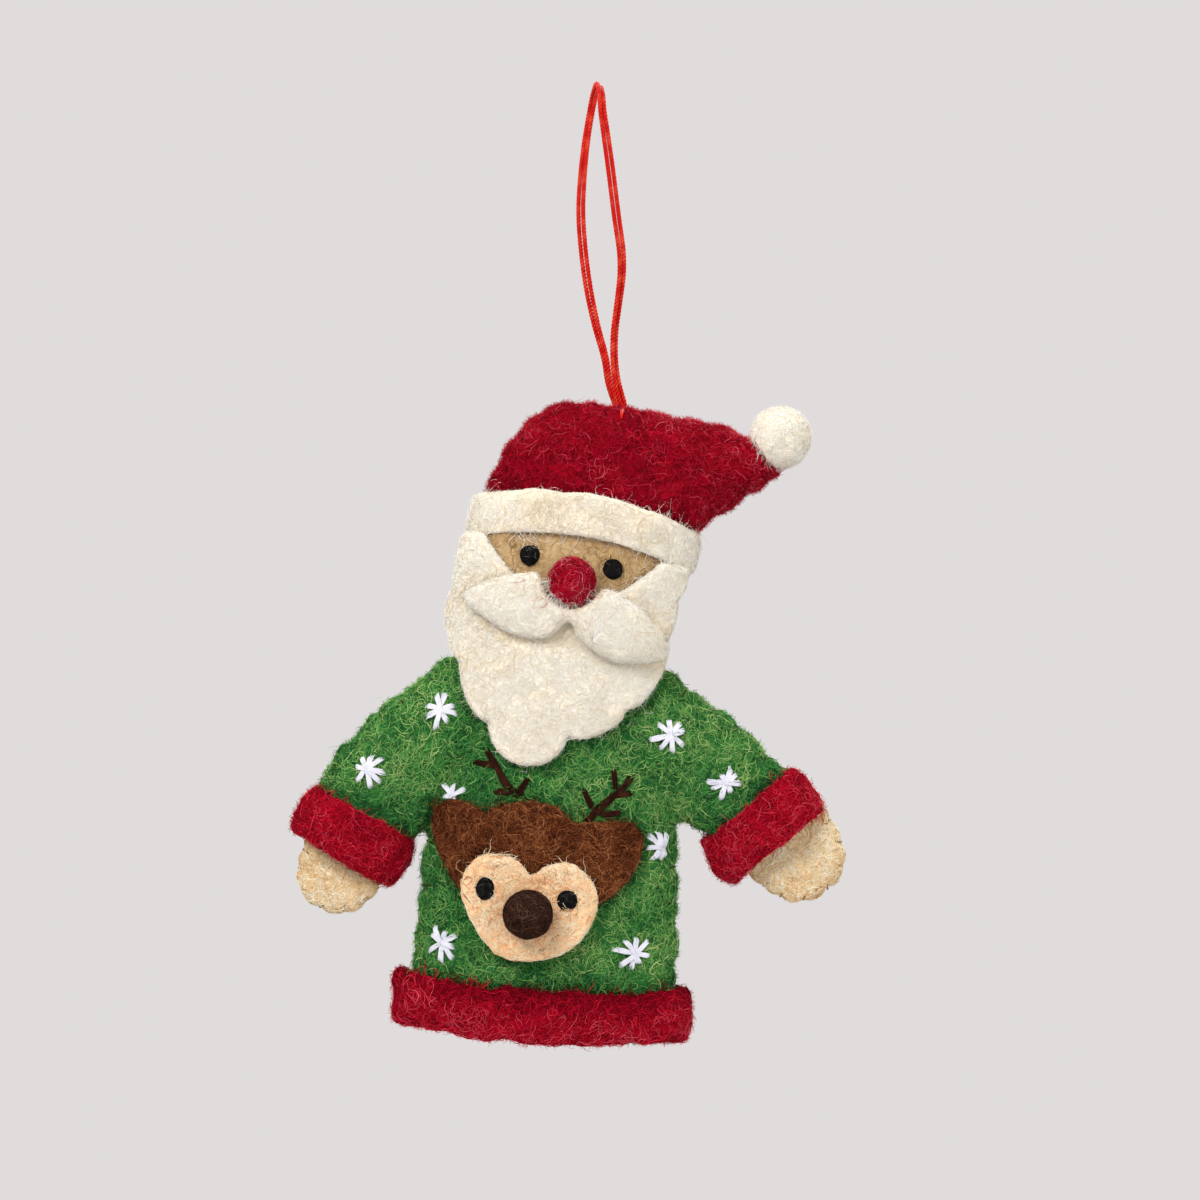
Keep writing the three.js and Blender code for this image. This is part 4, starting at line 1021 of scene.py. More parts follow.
def cuts_at(matrix, height):
    """Planes just below and just above a height of a frame, that keep what is on that side."""
    point, up = matrix @ Vector((0, 0, height)), matrix.to_3x3() @ Vector((0, 0, 1))
    return (point - up * CUT_GAP, up), (point + up * CUT_GAP, -up)


neck_point = jumper_frame @ Vector((0, 0, 0))
neck_up = jumper_frame.to_3x3() @ Vector((0, 0, 1))
foot_point = head_frame @ Vector((0, 0, HAT_FOOT))
foot_up = head_frame.to_3x3() @ Vector((0, 0, 1))
below_neck, above_neck = cuts_at(jumper_frame, 0)
below_foot, above_foot = cuts_at(head_frame, HAT_FOOT)


def inside(point, line):
    """Whether a point is inside a closed outline, seen from the front."""
    x, z = point[0], point[2]
    px, pz = line[:, 0], line[:, 2]
    qx, qz = np.roll(px, -1), np.roll(pz, -1)
    hit = ((pz > z) != (qz > z)) & (x < (qx - px) * (z - pz) / (qz - pz + 1e-12) + px)
    return bool(hit.sum() % 2)


def stitch_places(lines, others, spacing, seed):
    """Places along seams, each with its inward direction, without those inside other outlines."""
    rng = np.random.default_rng(seed)
    found = []
    for index, line in enumerate(lines):
        closed = np.vstack([line, line[:1]])
        gone = lengths_along(closed)
        count = int(gone[-1] / spacing)
        at = (np.arange(count) + rng.uniform(-STITCH_JITTER, STITCH_JITTER, count)) * gone[-1] / count
        at = at % gone[-1]
        ahead = at_lengths(closed, gone, (at + 0.3) % gone[-1])
        for spot, further in zip(at_lengths(closed, gone, at), ahead):
            run = further - spot
            inward = unit(np.array([run[2], 0, -run[0]]))
            if not inside(spot + inward * 0.5, line):
                inward = -inward
            if not any(inside(spot, o) for k, o in enumerate(others) if k != index):
                found.append((spot, inward))
    return found


def seam_line(rows, matrix):
    return placed(edge_of(rows, 8) * (1, 0, 1), matrix)


def cast(tree, q, y=-1):
    """Where a ray along the y axis from the front (y -1) or back (y 1) meets a skin, and the normal."""
    hit, n, _, _ = tree.ray_cast(Vector((q[0], y * RAY_START, q[2])), Vector((0, -y, 0)))
    return (None, None) if hit is None else (np.array(hit), np.array(n))


def stitches(name, places, meshes, material, seed, reach=2.0, rise=0.12):
    """Whip stitches over a seam, from the front skin round the edge to the back skin."""
    rng = np.random.default_rng(seed)
    front, back = (tree_of(m) for m in meshes)
    paths = []
    for spot, inward in places:
        side = np.array([inward[2], 0, -inward[0]]) * rng.uniform(-0.7, 0.7)
        deep = spot + inward * reach * rng.uniform(0.8, 1.15)
        rim = spot + inward * 0.55
        parts = []
        for tree, y in ((front, -1), (back, 1)):
            part = []
            for t in (1.0, 0.75, 0.5, 0.25):
                hit, n = cast(tree, rim + (deep - rim) * t + side * t, y)
                if hit is not None:
                    part.append(hit + n * (THREAD_DIP if t == 1.0 else rise))
            parts.append(part)
        line = [*parts[0], spot + inward * 0.25, *parts[1][::-1]]
        if len(line) > 4:
            paths.append(curve_through(line, 3, closed=False))
    return piece(name, tube_mesh(name, paths, STITCH_RADIUS, sides=5), material)


def clear_of_ball(points, centre, radius):
    away = points - centre
    d = np.linalg.norm(away, axis=1, keepdims=True)
    return np.where(d < radius, centre + away / d * radius, points)


pompom_centre = placed([[POMPOM_SHARES[0] * HAT_REACH, 0, POMPOM_SHARES[1] * HAT_RISE]], head_frame)[0]

hat_line = seam_line(hat_rows, head_frame)
hat_stitches = [s for s in stitch_places([hat_line], [], HAT_STITCH_SPACING, 3)
                if (s[0] - foot_point).dot(foot_up) > 4]
hat_meshes, head_meshes = [], []
for side, word in FACES:
    mesh = remeshed("hat_" + word, [half_form(hat_rows, side, head_frame)], VOXEL, cuts=[above_foot])
    roughen(mesh, (0.45, 6.0, 21 + side), (0.3, 2.6, 24 + side), (0.2, 1.3, 27 + side))
    pulled_in(mesh, hat_stitches, 0.9, 1.3)
    tucked(mesh, brim_frame, HEAD_WIDTH, HEAD_DEPTH, BRIM_HEIGHT / 2, BRIM_ARCH)
    p = clear_of_ball(points_of(mesh), np.array(hang_frame.translation), KNOT_DIAMETER / 2 + 0.05)
    set_points(mesh, clear_of_ball(p, pompom_centre, POMPOM_DIAMETER / 2 + 0.1))
    hat_meshes.append(mesh)
for side, word in FACES:
    form = half_form(head_rows, side, head_frame)
    mesh = remeshed("head_" + word, [form], VOXEL, cuts=[above_neck, below_foot])
    roughen(mesh, (0.12, 2.5, 31 + side), (0.05, 0.9, 34 + side))
    tucked(mesh, brim_frame, HEAD_WIDTH, HEAD_DEPTH, BRIM_HEIGHT / 2 - 1, BRIM_ARCH)
    head_meshes.append(mesh)
head_tree = tree_of(*head_meshes)


def ring_band(name, matrix, width, depth, height, thickness, arch, bumps, seed, around=150):
    """A felt band: a closed ring with a plump rounded section."""
    across, out = section(2 * math.pi * np.arange(around) / around)
    turns = np.linspace(0, 2 * math.pi, 21)[:-1]
    points = []
    for i in range(around):
        lift = arch * (1 - across[i] ** 2)
        inner = np.array([across[i] * width / 2, out[i] * depth / 2])
        for t in turns:
            plump, rise = (np.sign(v) * abs(v) ** 0.9 for v in (math.cos(t), math.sin(t)))
            spot = inner + inner / np.linalg.norm(inner) * (thickness * (0.5 + 0.5 * plump))
            points.append((spot[0], spot[1], lift + rise * height / 2))
    size = len(turns)
    faces = []
    for i in range(around):
        faces += ring_faces(i * size, (i + 1) % around * size, size)
    mesh = new_mesh(name, placed(points, matrix), faces)
    turned_out(mesh, cuts=1)
    roughen(mesh, *[(lift, size, seed + i) for i, (lift, size) in enumerate(bumps)])
    return mesh


brim_mesh = ring_band("brim", brim_frame, HEAD_WIDTH, HEAD_DEPTH, BRIM_HEIGHT, BRIM_THICKNESS, BRIM_ARCH,
                      ((0.3, 5.0), (0.04, 1.8)), 41)
brim_tree = tree_of(brim_mesh)

# ---------------------------------------------------------------- jumper

jumper_forms = (
    (torso_rows, jumper_frame), (left_sleeve_rows, left_wrist), (right_sleeve_rows, right_wrist)
)
jumper_lines = [seam_line(rows, matrix) for rows, matrix in jumper_forms]
jumper_stitches = [s for s in stitch_places(jumper_lines, jumper_lines, JUMPER_STITCH_SPACING, 5)
                   if (s[0] - np.array(neck_point)) @ np.array(neck_up) < -2.5]
jumper_meshes = []
for side, word in FACES:
    forms = [half_form(rows, side, matrix) for rows, matrix in jumper_forms]
    mesh = remeshed("jumper_" + word, forms, VOXEL, rounds=9, cuts=[below_neck])
    roughen(mesh, (0.45, 7.0, 51 + side), (0.3, 2.6, 54 + side), (0.18, 1.3, 57 + side))
    pulled_in(mesh, jumper_stitches, 1.0, 1.3)
    for matrix in (left_wrist, right_wrist):
        tucked(mesh, matrix, SLEEVE_WIDTH, SLEEVE_DEPTH, CUFF_HEIGHT / 2 - BAND_OVERLAP)
    tucked(mesh, hem_frame, JUMPER_WIDTH, JUMPER_DEPTH - HEM_THICKNESS, HEM_HEIGHT / 2 - BAND_OVERLAP,
           -HEM_SAG)
    p = unplaced(points_of(mesh), jumper_frame)
    foot = np.clip((JUMPER_FOOT - p[:, 2]) / 8, 0, 1) * np.clip((20 - p[:, 0]) / 4, 0, 1)
    p[:, 2] += FOOT_RISE * foot
    set_points(mesh, placed(p, jumper_frame))
    jumper_meshes.append(mesh)
jumper_tree = tree_of(*jumper_meshes)

hand_meshes, hand_stitches, cuff_meshes = {}, {}, {}
for word, matrix, (width, reach, across) in (
    ("left", left_wrist, LEFT_HAND),
    ("right", right_wrist, RIGHT_HAND),
):
    rows = rows_of(HAND_ROWS, width, reach, HAND_DEPTH, across)
    up = np.array(matrix.to_3x3() @ Vector((0, 0, 1)))
    spots = stitch_places([seam_line(rows, matrix)], [], HAND_STITCH_SPACING, 7)
    spots = [s for s in spots if (s[0] - np.array(matrix.translation)) @ up < -4.5]
    hand_stitches[word] = spots
    wrist_cut = (matrix @ Vector((0, 0, HAND_CUT)), Vector(up))
    for side, face in FACES:
        mesh = remeshed(f"hand_{word}_{face}", [half_form(rows, side, matrix)], HAND_VOXEL, cuts=[wrist_cut])
        roughen(mesh, (0.2, 3.0, 61 + side), (0.04, 1.0, 64 + side))
        pulled_in(mesh, spots, 0.9, 0.9)
        tucked(mesh, matrix, SLEEVE_WIDTH, SLEEVE_DEPTH, CUFF_HEIGHT / 2 - BAND_OVERLAP)
        hand_meshes[word, face] = mesh
for word, matrix, seed in (("left", left_wrist, 71), ("right", right_wrist, 75)):
    cuff_meshes[word] = ring_band(
        "cuff_" + word, matrix, SLEEVE_WIDTH, SLEEVE_DEPTH, CUFF_HEIGHT, CUFF_THICKNESS, 0,
        ((0.35, 5.0), (0.28, 2.2), (0.18, 1.1)), seed, around=84,
    )
hem_mesh = ring_band("hem", hem_frame, JUMPER_WIDTH, JUMPER_DEPTH - HEM_THICKNESS, HEM_HEIGHT, HEM_THICKNESS,
                     -HEM_SAG, ((0.5, 4.2), (0.35, 2.0), (0.2, 1.0)), 81)
bulged(hem_mesh, HEM_LEFT_CORNER, (-0.9, 0, 0.9), 3.0)
bulged(cuff_meshes["right"], RIGHT_CUFF_CORNER, (-0.5, 0, -0.9), 3.5)

# ---------------------------------------------------------------- felt sheets


def sheet_mesh(name, outline, middle, thickness, spacing=0.8, edge=1.0, wobble=0.0, seed=0):
    """A felt sheet cut to an outline. middle gives a point and normal of its middle for each (x, z)."""
    closed = np.vstack([outline, outline[:1]])
    gone = lengths_along(closed)
    count = int(gone[-1] / (spacing * 0.8))
    rim = at_lengths(closed, gone, np.linspace(0, gone[-1], count + 1)[:-1])
    low, high = rim.min(0), rim.max(0)
    grid = np.meshgrid(np.arange(low[0], high[0], spacing), np.arange(low[1], high[1], spacing))
    grid = np.stack(grid, -1).reshape(-1, 2)
    along = np.roll(rim, -1, 0) - rim

    def gap_to_rim(q):
        t = np.clip(((q[:, None] - rim) * along).sum(2) / (along * along).sum(1), 0, 1)
        return np.linalg.norm(q[:, None] - (rim + along * t[..., None]), axis=2).min(1)

    upright = np.stack([rim[:, 0], rim[:, 0] * 0, rim[:, 1]], 1)
    grid = np.array([q for q in grid if inside((q[0], 0, q[1]), upright)])
    grid = grid[gap_to_rim(grid) > edge * 0.9 + spacing * 0.4]
    run = np.roll(rim, -1, 0) - np.roll(rim, 1, 0)
    run /= np.linalg.norm(run, axis=1, keepdims=True)
    turn = np.stack([-run[:, 1], run[:, 0]], 1)
    if not inside((rim[0] + turn[0] * 0.2)[[0, 0, 1]] * (1, 0, 1), upright):
        turn = -turn
    inner = []
    for inset in (0.12, 0.4, 0.9):
        ring = rim + turn * inset * edge
        inner.append(ring[gap_to_rim(ring) > inset * edge * 0.9])
    every = [Vector(q) for q in np.vstack([rim, *inner, grid])]
    edges = [(i, (i + 1) % len(rim)) for i in range(len(rim))]
    verts, _, faces, _, _, _ = geometry.delaunay_2d_cdt(every, edges, [], 1, 1e-5)
    flat = np.array([tuple(v) for v in verts])
    away = gap_to_rim(flat)
    within = away >= 1e-4
    half = thickness / 2 * np.sqrt(1 - (1 - np.clip(away / edge, 0, 1)) ** 2)
    centre, normal = middle(flat[:, 0], flat[:, 1])
    if wobble:
        centre = centre + normal * (wobble * value_noise(centre, 5.0, seed + 9))[:, None]
    front = centre + normal * half[:, None]
    back = centre - normal * half[:, None]
    index = np.arange(len(flat))
    index[within] = len(flat) + np.arange(within.sum())
    behind = [tuple(int(index[v]) for v in reversed(f)) for f in faces]
    mesh = new_mesh(name, np.vstack([front, back[within]]), [*faces, *behind])
    turned_out(mesh)
    return mesh, flat, faces


def beard_outline():
    size = np.array((BEARD_WIDTH / 2, BEARD_DROP))
    points = [BEARD_START * size]
    for across, up, bulge in BEARD_LOBES:
        start, end = points[-1], (across, up) * size
        along = end - start
        out = np.array((along[1], -along[0])) / np.linalg.norm(along)
        for angle in math.pi * np.arange(1, 13) / 12:
            points.append(start + along * (1 - math.cos(angle)) / 2 + out * math.sin(angle) * bulge * size[0])
    right, left, top, dip = BEARD_SCOOP
    a, b, c = ((right, top) * size, ((right + left) / 2, dip) * size, (left, top) * size)
    points += [a * (1 - t) ** 2 + b * 2 * t * (1 - t) + c * t**2 for t in np.linspace(0, 1, 25)]
    return np.array(points)


def beard_front(x, z):
    fall = np.clip(-z / BEARD_DROP, 0, 1)
    crest = (HEAD_DEPTH + (JUMPER_DEPTH - HEAD_DEPTH) * fall) / 2 + 0.35 + FELT
    return crest * swell(np.minimum(1, np.abs(2 * x) / BEARD_WRAP_WIDTH))


def surface(front, matrix, thickness):
    """Middle points and normals of a sheet whose front is given, both in the CAD frame."""

    def middle(x, z):
        e = 0.05
        slope_x = (front(x + e, z) - front(x - e, z)) / (2 * e)
        slope_z = (front(x, z + e) - front(x, z - e)) / (2 * e)
        normal = np.stack([-slope_x, -np.ones_like(x), -slope_z], 1)
        normal /= np.linalg.norm(normal, axis=1, keepdims=True)
        point = np.stack([x, -front(x, z), z], 1) - normal * thickness / 2
        return placed(point, matrix), normal @ np.array(matrix.to_3x3()).T

    return middle


beard_mesh, beard_flat, beard_faces = sheet_mesh(
    "beard", beard_outline(), surface(beard_front, head_frame, FELT), FELT, edge=1.2, wobble=0.15, seed=91
)
smoothed(beard_mesh, 2)
roughen(beard_mesh, (0.22, 4.5, 92))
p = points_of(beard_mesh)
for tree in (head_tree, jumper_tree, brim_tree):
    p = push_out(p, tree, 0.1)
set_points(beard_mesh, p)
beard_tree = tree_of(beard_mesh)


def ball_mesh(name, centre, diameters, matrix, bumps, seed, levels=4):
    bm = bmesh.new()
    bmesh.ops.create_icosphere(bm, subdivisions=levels, radius=0.5)
    mesh = mesh_from(name, bm)
    set_points(mesh, points_of(mesh) * diameters @ np.array(matrix.to_3x3()).T + centre)
    roughen(mesh, *[(h, s, seed + i) for i, (h, s) in enumerate(bumps)])
    return mesh


nose_out = HEAD_DEPTH / 2 + NOSE_DIAMETER / 2 - NOSE_SINK
nose_centre = placed([[0, -nose_out, NOSE_SETTING]], head_frame)[0]
nose_mesh = ball_mesh("nose", nose_centre, [NOSE_DIAMETER] * 3, head_frame, NOSE_BUMPS, 101)
nose_tree = tree_of(nose_mesh)
pompom_mesh = ball_mesh("pompom", pompom_centre, [POMPOM_DIAMETER - 0.2] * 3, head_frame,
                        ((0.15, 3.5), (0.03, 0.9)), 105)

moustache_rows = rows_of(MOUSTACHE_ROWS, MOUSTACHE_WIDTH, MOUSTACHE_HEIGHT, 2 * MOUSTACHE_PAD)
moustache_form = half_form(moustache_rows, -1, Matrix.Identity(4), rim=1.4, seam=0.0)
moustache_mesh = remeshed("moustache", [moustache_form], MOUSTACHE_VOXEL)
p = points_of(moustache_mesh)
p[:, 1] -= beard_front(p[:, 0], p[:, 2]) + 0.1
set_points(moustache_mesh, placed(p, head_frame))
roughen(moustache_mesh, (0.25, 4.5, 95))
p = push_out(push_out(points_of(moustache_mesh), beard_tree, SHEET_GAP), brim_tree, 0.1)
set_points(moustache_mesh, clear_of_ball(p, nose_centre, NOSE_DIAMETER / 2 + 0.05))
moustache_tree = tree_of(moustache_mesh)


def drop_on(tree, x, z, matrix):
    """The point of a skin in front of (x, z) of a frame."""
    return cast(tree, placed([[x, 0, z]], matrix)[0])[0]


def eye_mesh(name, tree, x, z, matrix, width, height, dome, seed):
    place = drop_on(tree, x, z, matrix) + (0, -0.1, 0)
    mesh = ball_mesh(name, place, [width, 2 * dome, height], matrix, EYE_BUMPS, seed, 3)
    set_points(mesh, push_out(points_of(mesh), tree, 0.04))
    return mesh


eyes = {}
for word, sign in (("left", -1), ("right", 1)):
    x = EYE_SHIFT + sign * EYE_SPACING / 2
    eyes[word] = eye_mesh("eye_" + word, head_tree, x, EYE_SETTING, head_frame, EYE_DIAMETER, EYE_DIAMETER,
                          0.9, 110 + sign)

# ---------------------------------------------------------------- reindeer


def deer_spot(share):
    """A place on the patch, in the jumper's frame."""
    return share[0] * DEER_WIDTH / 2 - DEER_OFFSET, share[1] * DEER_HEIGHT - DEER_DROP


def chest(lift):
    """Front of a sheet that lies on the chest, from the torso's own form."""
    edge = edge_of(torso_rows, 12)
    half = len(edge) // 2
    left, right = edge[1:half], edge[:half:-1]
    order = np.argsort(left[:, 2])
    heights = left[order, 2]

    def front(x, z):
        l, r, h = (np.interp(z, heights, v[order]) for v in (left[:, 0], right[:, 0], left[:, 1]))
        across = np.clip(np.abs((2 * x - l - r) / (r - l)), 0, 0.995)
        return 1.1 + (h - 1.1) * swell(across) + lift

    return front


def deer_sheet(name, shares, lift, under, seed):
    line = curve_through([deer_spot(share) for share in shares], 8)
    made = sheet_mesh(name, line, surface(chest(lift + THIN_FELT), jumper_frame, THIN_FELT), THIN_FELT,
                      spacing=0.7, edge=0.75, wobble=0.1, seed=seed)
    roughen(made[0], (0.1, 1.5, seed + 1), (0.05, 0.7, seed + 2))
    set_points(made[0], push_out(points_of(made[0]), under, SHEET_GAP))
    return *made, tree_of(made[0])


deer_head_mesh, deer_head_flat, deer_head_faces, deer_head_tree = deer_sheet(
    "reindeer_head", DEER_HEAD, 0.3, jumper_tree, 121
)
deer_face_mesh, deer_face_flat, deer_face_faces, deer_face_tree = deer_sheet(
    "reindeer_face", DEER_FACE, 0.5 + THIN_FELT, deer_head_tree, 131
)
place = drop_on(deer_face_tree, *deer_spot(DEER_NOSE), jumper_frame) + (0, 2.0 - DEER_NOSE_DIAMETER / 2, 0)
deer_nose_mesh = ball_mesh("reindeer_nose", place, [DEER_NOSE_DIAMETER] * 3, jumper_frame, NOSE_BUMPS, 141)
set_points(deer_nose_mesh, push_out(points_of(deer_nose_mesh), deer_face_tree, 0.05))
deer_nose_tree = tree_of(deer_nose_mesh)
deer_eyes = {}
for word, share, seed in (("left", DEER_EYES[0], 151), ("right", DEER_EYES[1], 155)):
    width, height = DEER_EYE_DIAMETER * share[2], DEER_EYE_DIAMETER * share[3]
    deer_eyes[word] = eye_mesh("reindeer_eye_" + word, deer_face_tree, *deer_spot(share), jumper_frame, width,
                               height, 0.85, seed)

# ---------------------------------------------------------------- embroidery


def laid_thread(tree, ends, matrix, lift, dip=THREAD_DIP, steps=8, side=(0.0, 0.0)):
    """A thread over a skin between points of a frame, dipping in at both ends."""
    ends = np.asarray(ends, float)
    line = np.stack([ends[:, 0], ends[:, 0] * 0, ends[:, 1]], 1)
    if len(line) > 2:
        line = curve_through(line, steps, closed=False)
    else:
        line = line[0] + (line[1] - line[0]) * np.linspace(0, 1, steps + 1)[:, None]
    run = np.gradient(line, axis=0)
    run /= np.linalg.norm(run, axis=1, keepdims=True)
    t = np.linspace(0, 1, len(line))
    line = line + np.stack([run[:, 2], run[:, 0] * 0, -run[:, 0]], 1) * np.interp(t, (0, 1), side)[:, None]
    height = dip + (lift - dip) * np.minimum(1, np.sin(t * math.pi) * 2.2)
    hits = [(*cast(tree, q), h) for q, h in zip(placed(line, matrix), height)]
    return [hit + n * h for hit, n, h in hits if hit is not None]


def make_snowflakes(tree):
    """Straight stitches out from one place, each a flat ribbon of four fine threads."""
    rng = np.random.default_rng(5)
    for number, (x, z, rays) in enumerate(SNOWFLAKES, 1):
        paths = []
        for k, index in enumerate(rng.permutation(len(rays))):
            angle, reach = math.radians(rays[index][0]), rays[index][1]
            d = np.array((math.cos(angle), math.sin(angle)))
            centre = np.array((x, z)) + rng.uniform(-0.15, 0.15, 2)
            slant = rng.uniform(-0.5, 0.5)
            for step in SNOWFLAKE_THREADS:
                tip = reach + slant * step * 0.4 - 0.12 * abs(step) + rng.uniform(-0.1, 0.1)
                path = laid_thread(tree, [centre - d * 0.5, centre + d * tip], jumper_frame, 0.4 + 0.05 * k,
                                   steps=10, side=(step * 0.16, step * 0.27))
                if len(path) > 6:
                    paths.append(path)
        name = f"snowflake_{number}"
        mesh = tube_mesh(name, paths, SNOWFLAKE_RADIUS, sides=7, flat=0.7, taper=0.35)
        piece(name, mesh, white_thread)


def make_cord_stitch(tree):
    """The small stitch below the cord that holds its ends in the felt."""
    paths = [laid_thread(tree, [(x, -61.8), (4.1 + x / 50, -64.1)], Matrix.Identity(4), 0.35, dip=-0.2)
             for x in (4.1, 4.4, 4.7)]
    paths = [path for path in paths if len(path) > 5]
    piece("cord_stitch", tube_mesh("cord_stitch", paths, CORD_STITCH_RADIUS, taper=0.5), red_thread)


def make_antlers(tree):
    rng = np.random.default_rng(6)
    paths = []
    for index, line in enumerate(ANTLERS):
        for side in (-0.48, -0.16, 0.16, 0.48) if index in MAIN_ANTLERS else (-0.32, 0.0, 0.32):
            ends = np.array(line, float)
            ends = ends + rng.uniform(-0.12, 0.12, ends.shape)
            run = ends[-1] - ends[-2]
            ends[-1] += run / np.linalg.norm(run) * rng.uniform(-0.5, 0.4)
            both = (side, side * rng.uniform(0.6, 1.2))
            path = laid_thread(tree, ends, jumper_frame, 0.5, steps=6, side=both)
            if len(path) > 4:
                paths.append(path)
    mesh = tube_mesh("reindeer_antlers", paths, ANTLER_RADIUS, flat=0.9, taper=0.5)
    piece("reindeer_antlers", mesh, umber_thread)


make_cord_stitch(tree_of(hat_meshes[0]))
make_snowflakes(jumper_tree)
make_antlers(jumper_tree)

# ---------------------------------------------------------------- seams

stitches("jumper_seam_stitches", jumper_stitches, jumper_meshes, olive_thread, 8)
stitches("hat_seam_stitches", hat_stitches, hat_meshes, crimson_thread, 9)
for word, spots in hand_stitches.items():
    both = [hand_meshes[word, face] for _, face in FACES]
    stitches(f"hand_{word}_seam_stitches", spots, both, tan_thread, 10, reach=1.5, rise=0.02)

# ---------------------------------------------------------------- fibres

felt_tree = tree_of(
    *hat_meshes, *head_meshes, brim_mesh, pompom_mesh, beard_mesh, moustache_mesh, nose_mesh, *jumper_meshes,
    hem_mesh, *cuff_meshes.values(), *hand_meshes.values(), *eyes.values(), deer_head_mesh, deer_face_mesh,
    deer_nose_mesh, *deer_eyes.values(),
)


def by_nose(centres):
    return np.exp(-((np.linalg.norm(centres - nose_centre, axis=1) / 6.5) ** 2))


def by_crown(centres):
    return np.clip((centres[:, 2] - (deer_spot(DEER_NOSE)[1] + neck_point[2])) / 6, 0.01, 1) ** 2


def by_front(centres):
    return (centres[:, 1] < centres[:, 1].min() + 3.2) + 0.0


def by_seam(centres):
    return np.exp(-((centres[:, 1] / 3.0) ** 2)) + 0.03


eye_trees, deer_eye_trees, cuff_trees = (
    {word: tree_of(mesh) for word, mesh in meshes.items()} for meshes in (eyes, deer_eyes, cuff_meshes)
)
bands = [tree_of(hem_mesh), *cuff_trees.values()]
# Painted shade: skins are marked darker where other pieces touch or lie close over them, where their shadow
# falls.
mark_painted_shade(beard_mesh, moustache_tree, brim_tree)
mark_painted_shade(moustache_mesh, nose_tree)
# The brim's front and back get painted shade, so that its rims read lighter, as if catching the light.
mark_painted_shade(brim_mesh, middle=0.5)
mark_painted_shade(head_meshes[0], brim_tree, beard_tree, moustache_tree, nose_tree, *eye_trees.values(), reach=2.2)
mark_painted_shade(hat_meshes[0], brim_tree)
mark_painted_shade(jumper_meshes[0], *bands, beard_tree, deer_head_tree, reach=3.0)
mark_painted_shade(jumper_meshes[1], *bands, reach=3.0)
for band in cuff_meshes.values():
    mark_painted_shade(band, jumper_tree, reach=1.7)
# Painted shadow and light on the hem: darker towards its top edge under the jumper, its fibres lighter
# towards the bottom.
p = unplaced(points_of(hem_mesh), hem_frame)
rise = (p[:, 2] + HEM_SAG * (1 - (2 * p[:, 0] / JUMPER_WIDTH) ** 2)) / HEM_HEIGHT + 0.5
mark_painted_shade(hem_mesh, jumper_tree, reach=1.7, start=np.clip(1.7 * rise - 0.75, -0.25, 0.95))
mark_painted_shade(deer_head_mesh, deer_face_tree, reach=1.2)
mark_painted_shade(deer_face_mesh, deer_nose_tree, *deer_eye_trees.values(), reach=0.9)
for (word, _), mesh in hand_meshes.items():
    mark_painted_shade(mesh, cuff_trees[word])

soft_lie = dict(width=0.09, lift=0.14, fuzz=0.6, stand=0.1, shades=(1.9, 0.9))
open_lie = dict(width=0.12, lift=0.2, fuzz=0.6, stand=0.06, shades=(1.5, 0.9), length=5.0)
stray = dict(width=0.07, length=9.0, stand=1.0, fuzz=2.6, curl=0.3, shades=(2.0, 1.0))
round_lie = dict(length=3.4, width=0.12, lift=0.12, fuzz=0.5, stand=0.15, curl=0.3)
patch_lie = dict(width=0.14, lift=0.3, fuzz=0.6, stand=0.12, shades=(1.0, 1.25))
hand_lie = dict(width=0.15, lift=0.28, fuzz=0.5, stand=0.1, shades=(1.5, 1.0))
face_lie = dict(width=0.14, lift=0.25, fuzz=0.35, stand=0.05, length=4.0, shades=(1.6, 0.9))
band_lie = dict(shades=(1.7, 1.4))
hat_lie = dict(width=0.12, shades=(1.45, 1.8))
thin_lie = dict(width=0.12, lift=0.25, shades=(1.7, 1.4))
thick_lie = dict(width=0.17, lift=0.5, shades=(1.5, 1.5))
eye_lie = dict(length=1.3, width=0.1, lift=0.15, fuzz=0.3)
down = dict(length=1.5, width=0.1, stand=1.0, fuzz=0.8, shades=(2.3, 1.6), spread=9.0, steps=4)
seam_down = dict(down, fuzz=1.1, near=by_seam)
soft_down = dict(down, fuzz=0.7, width=0.08, shades=(3, 1))
hat_front, hat_back = hat_meshes
head_front, head_back = head_meshes
jumper_front, jumper_back = jumper_meshes
cuff_left, cuff_right = cuff_meshes.values()
tan_lie = dict(width=0.12, lift=0.2, fuzz=0.4, stand=0.15)
band_down = dict(down, fuzz=1.1)
crown_lie = dict(face_lie, length=2.0, width=0.07, shades=(4, 1), near=by_crown)
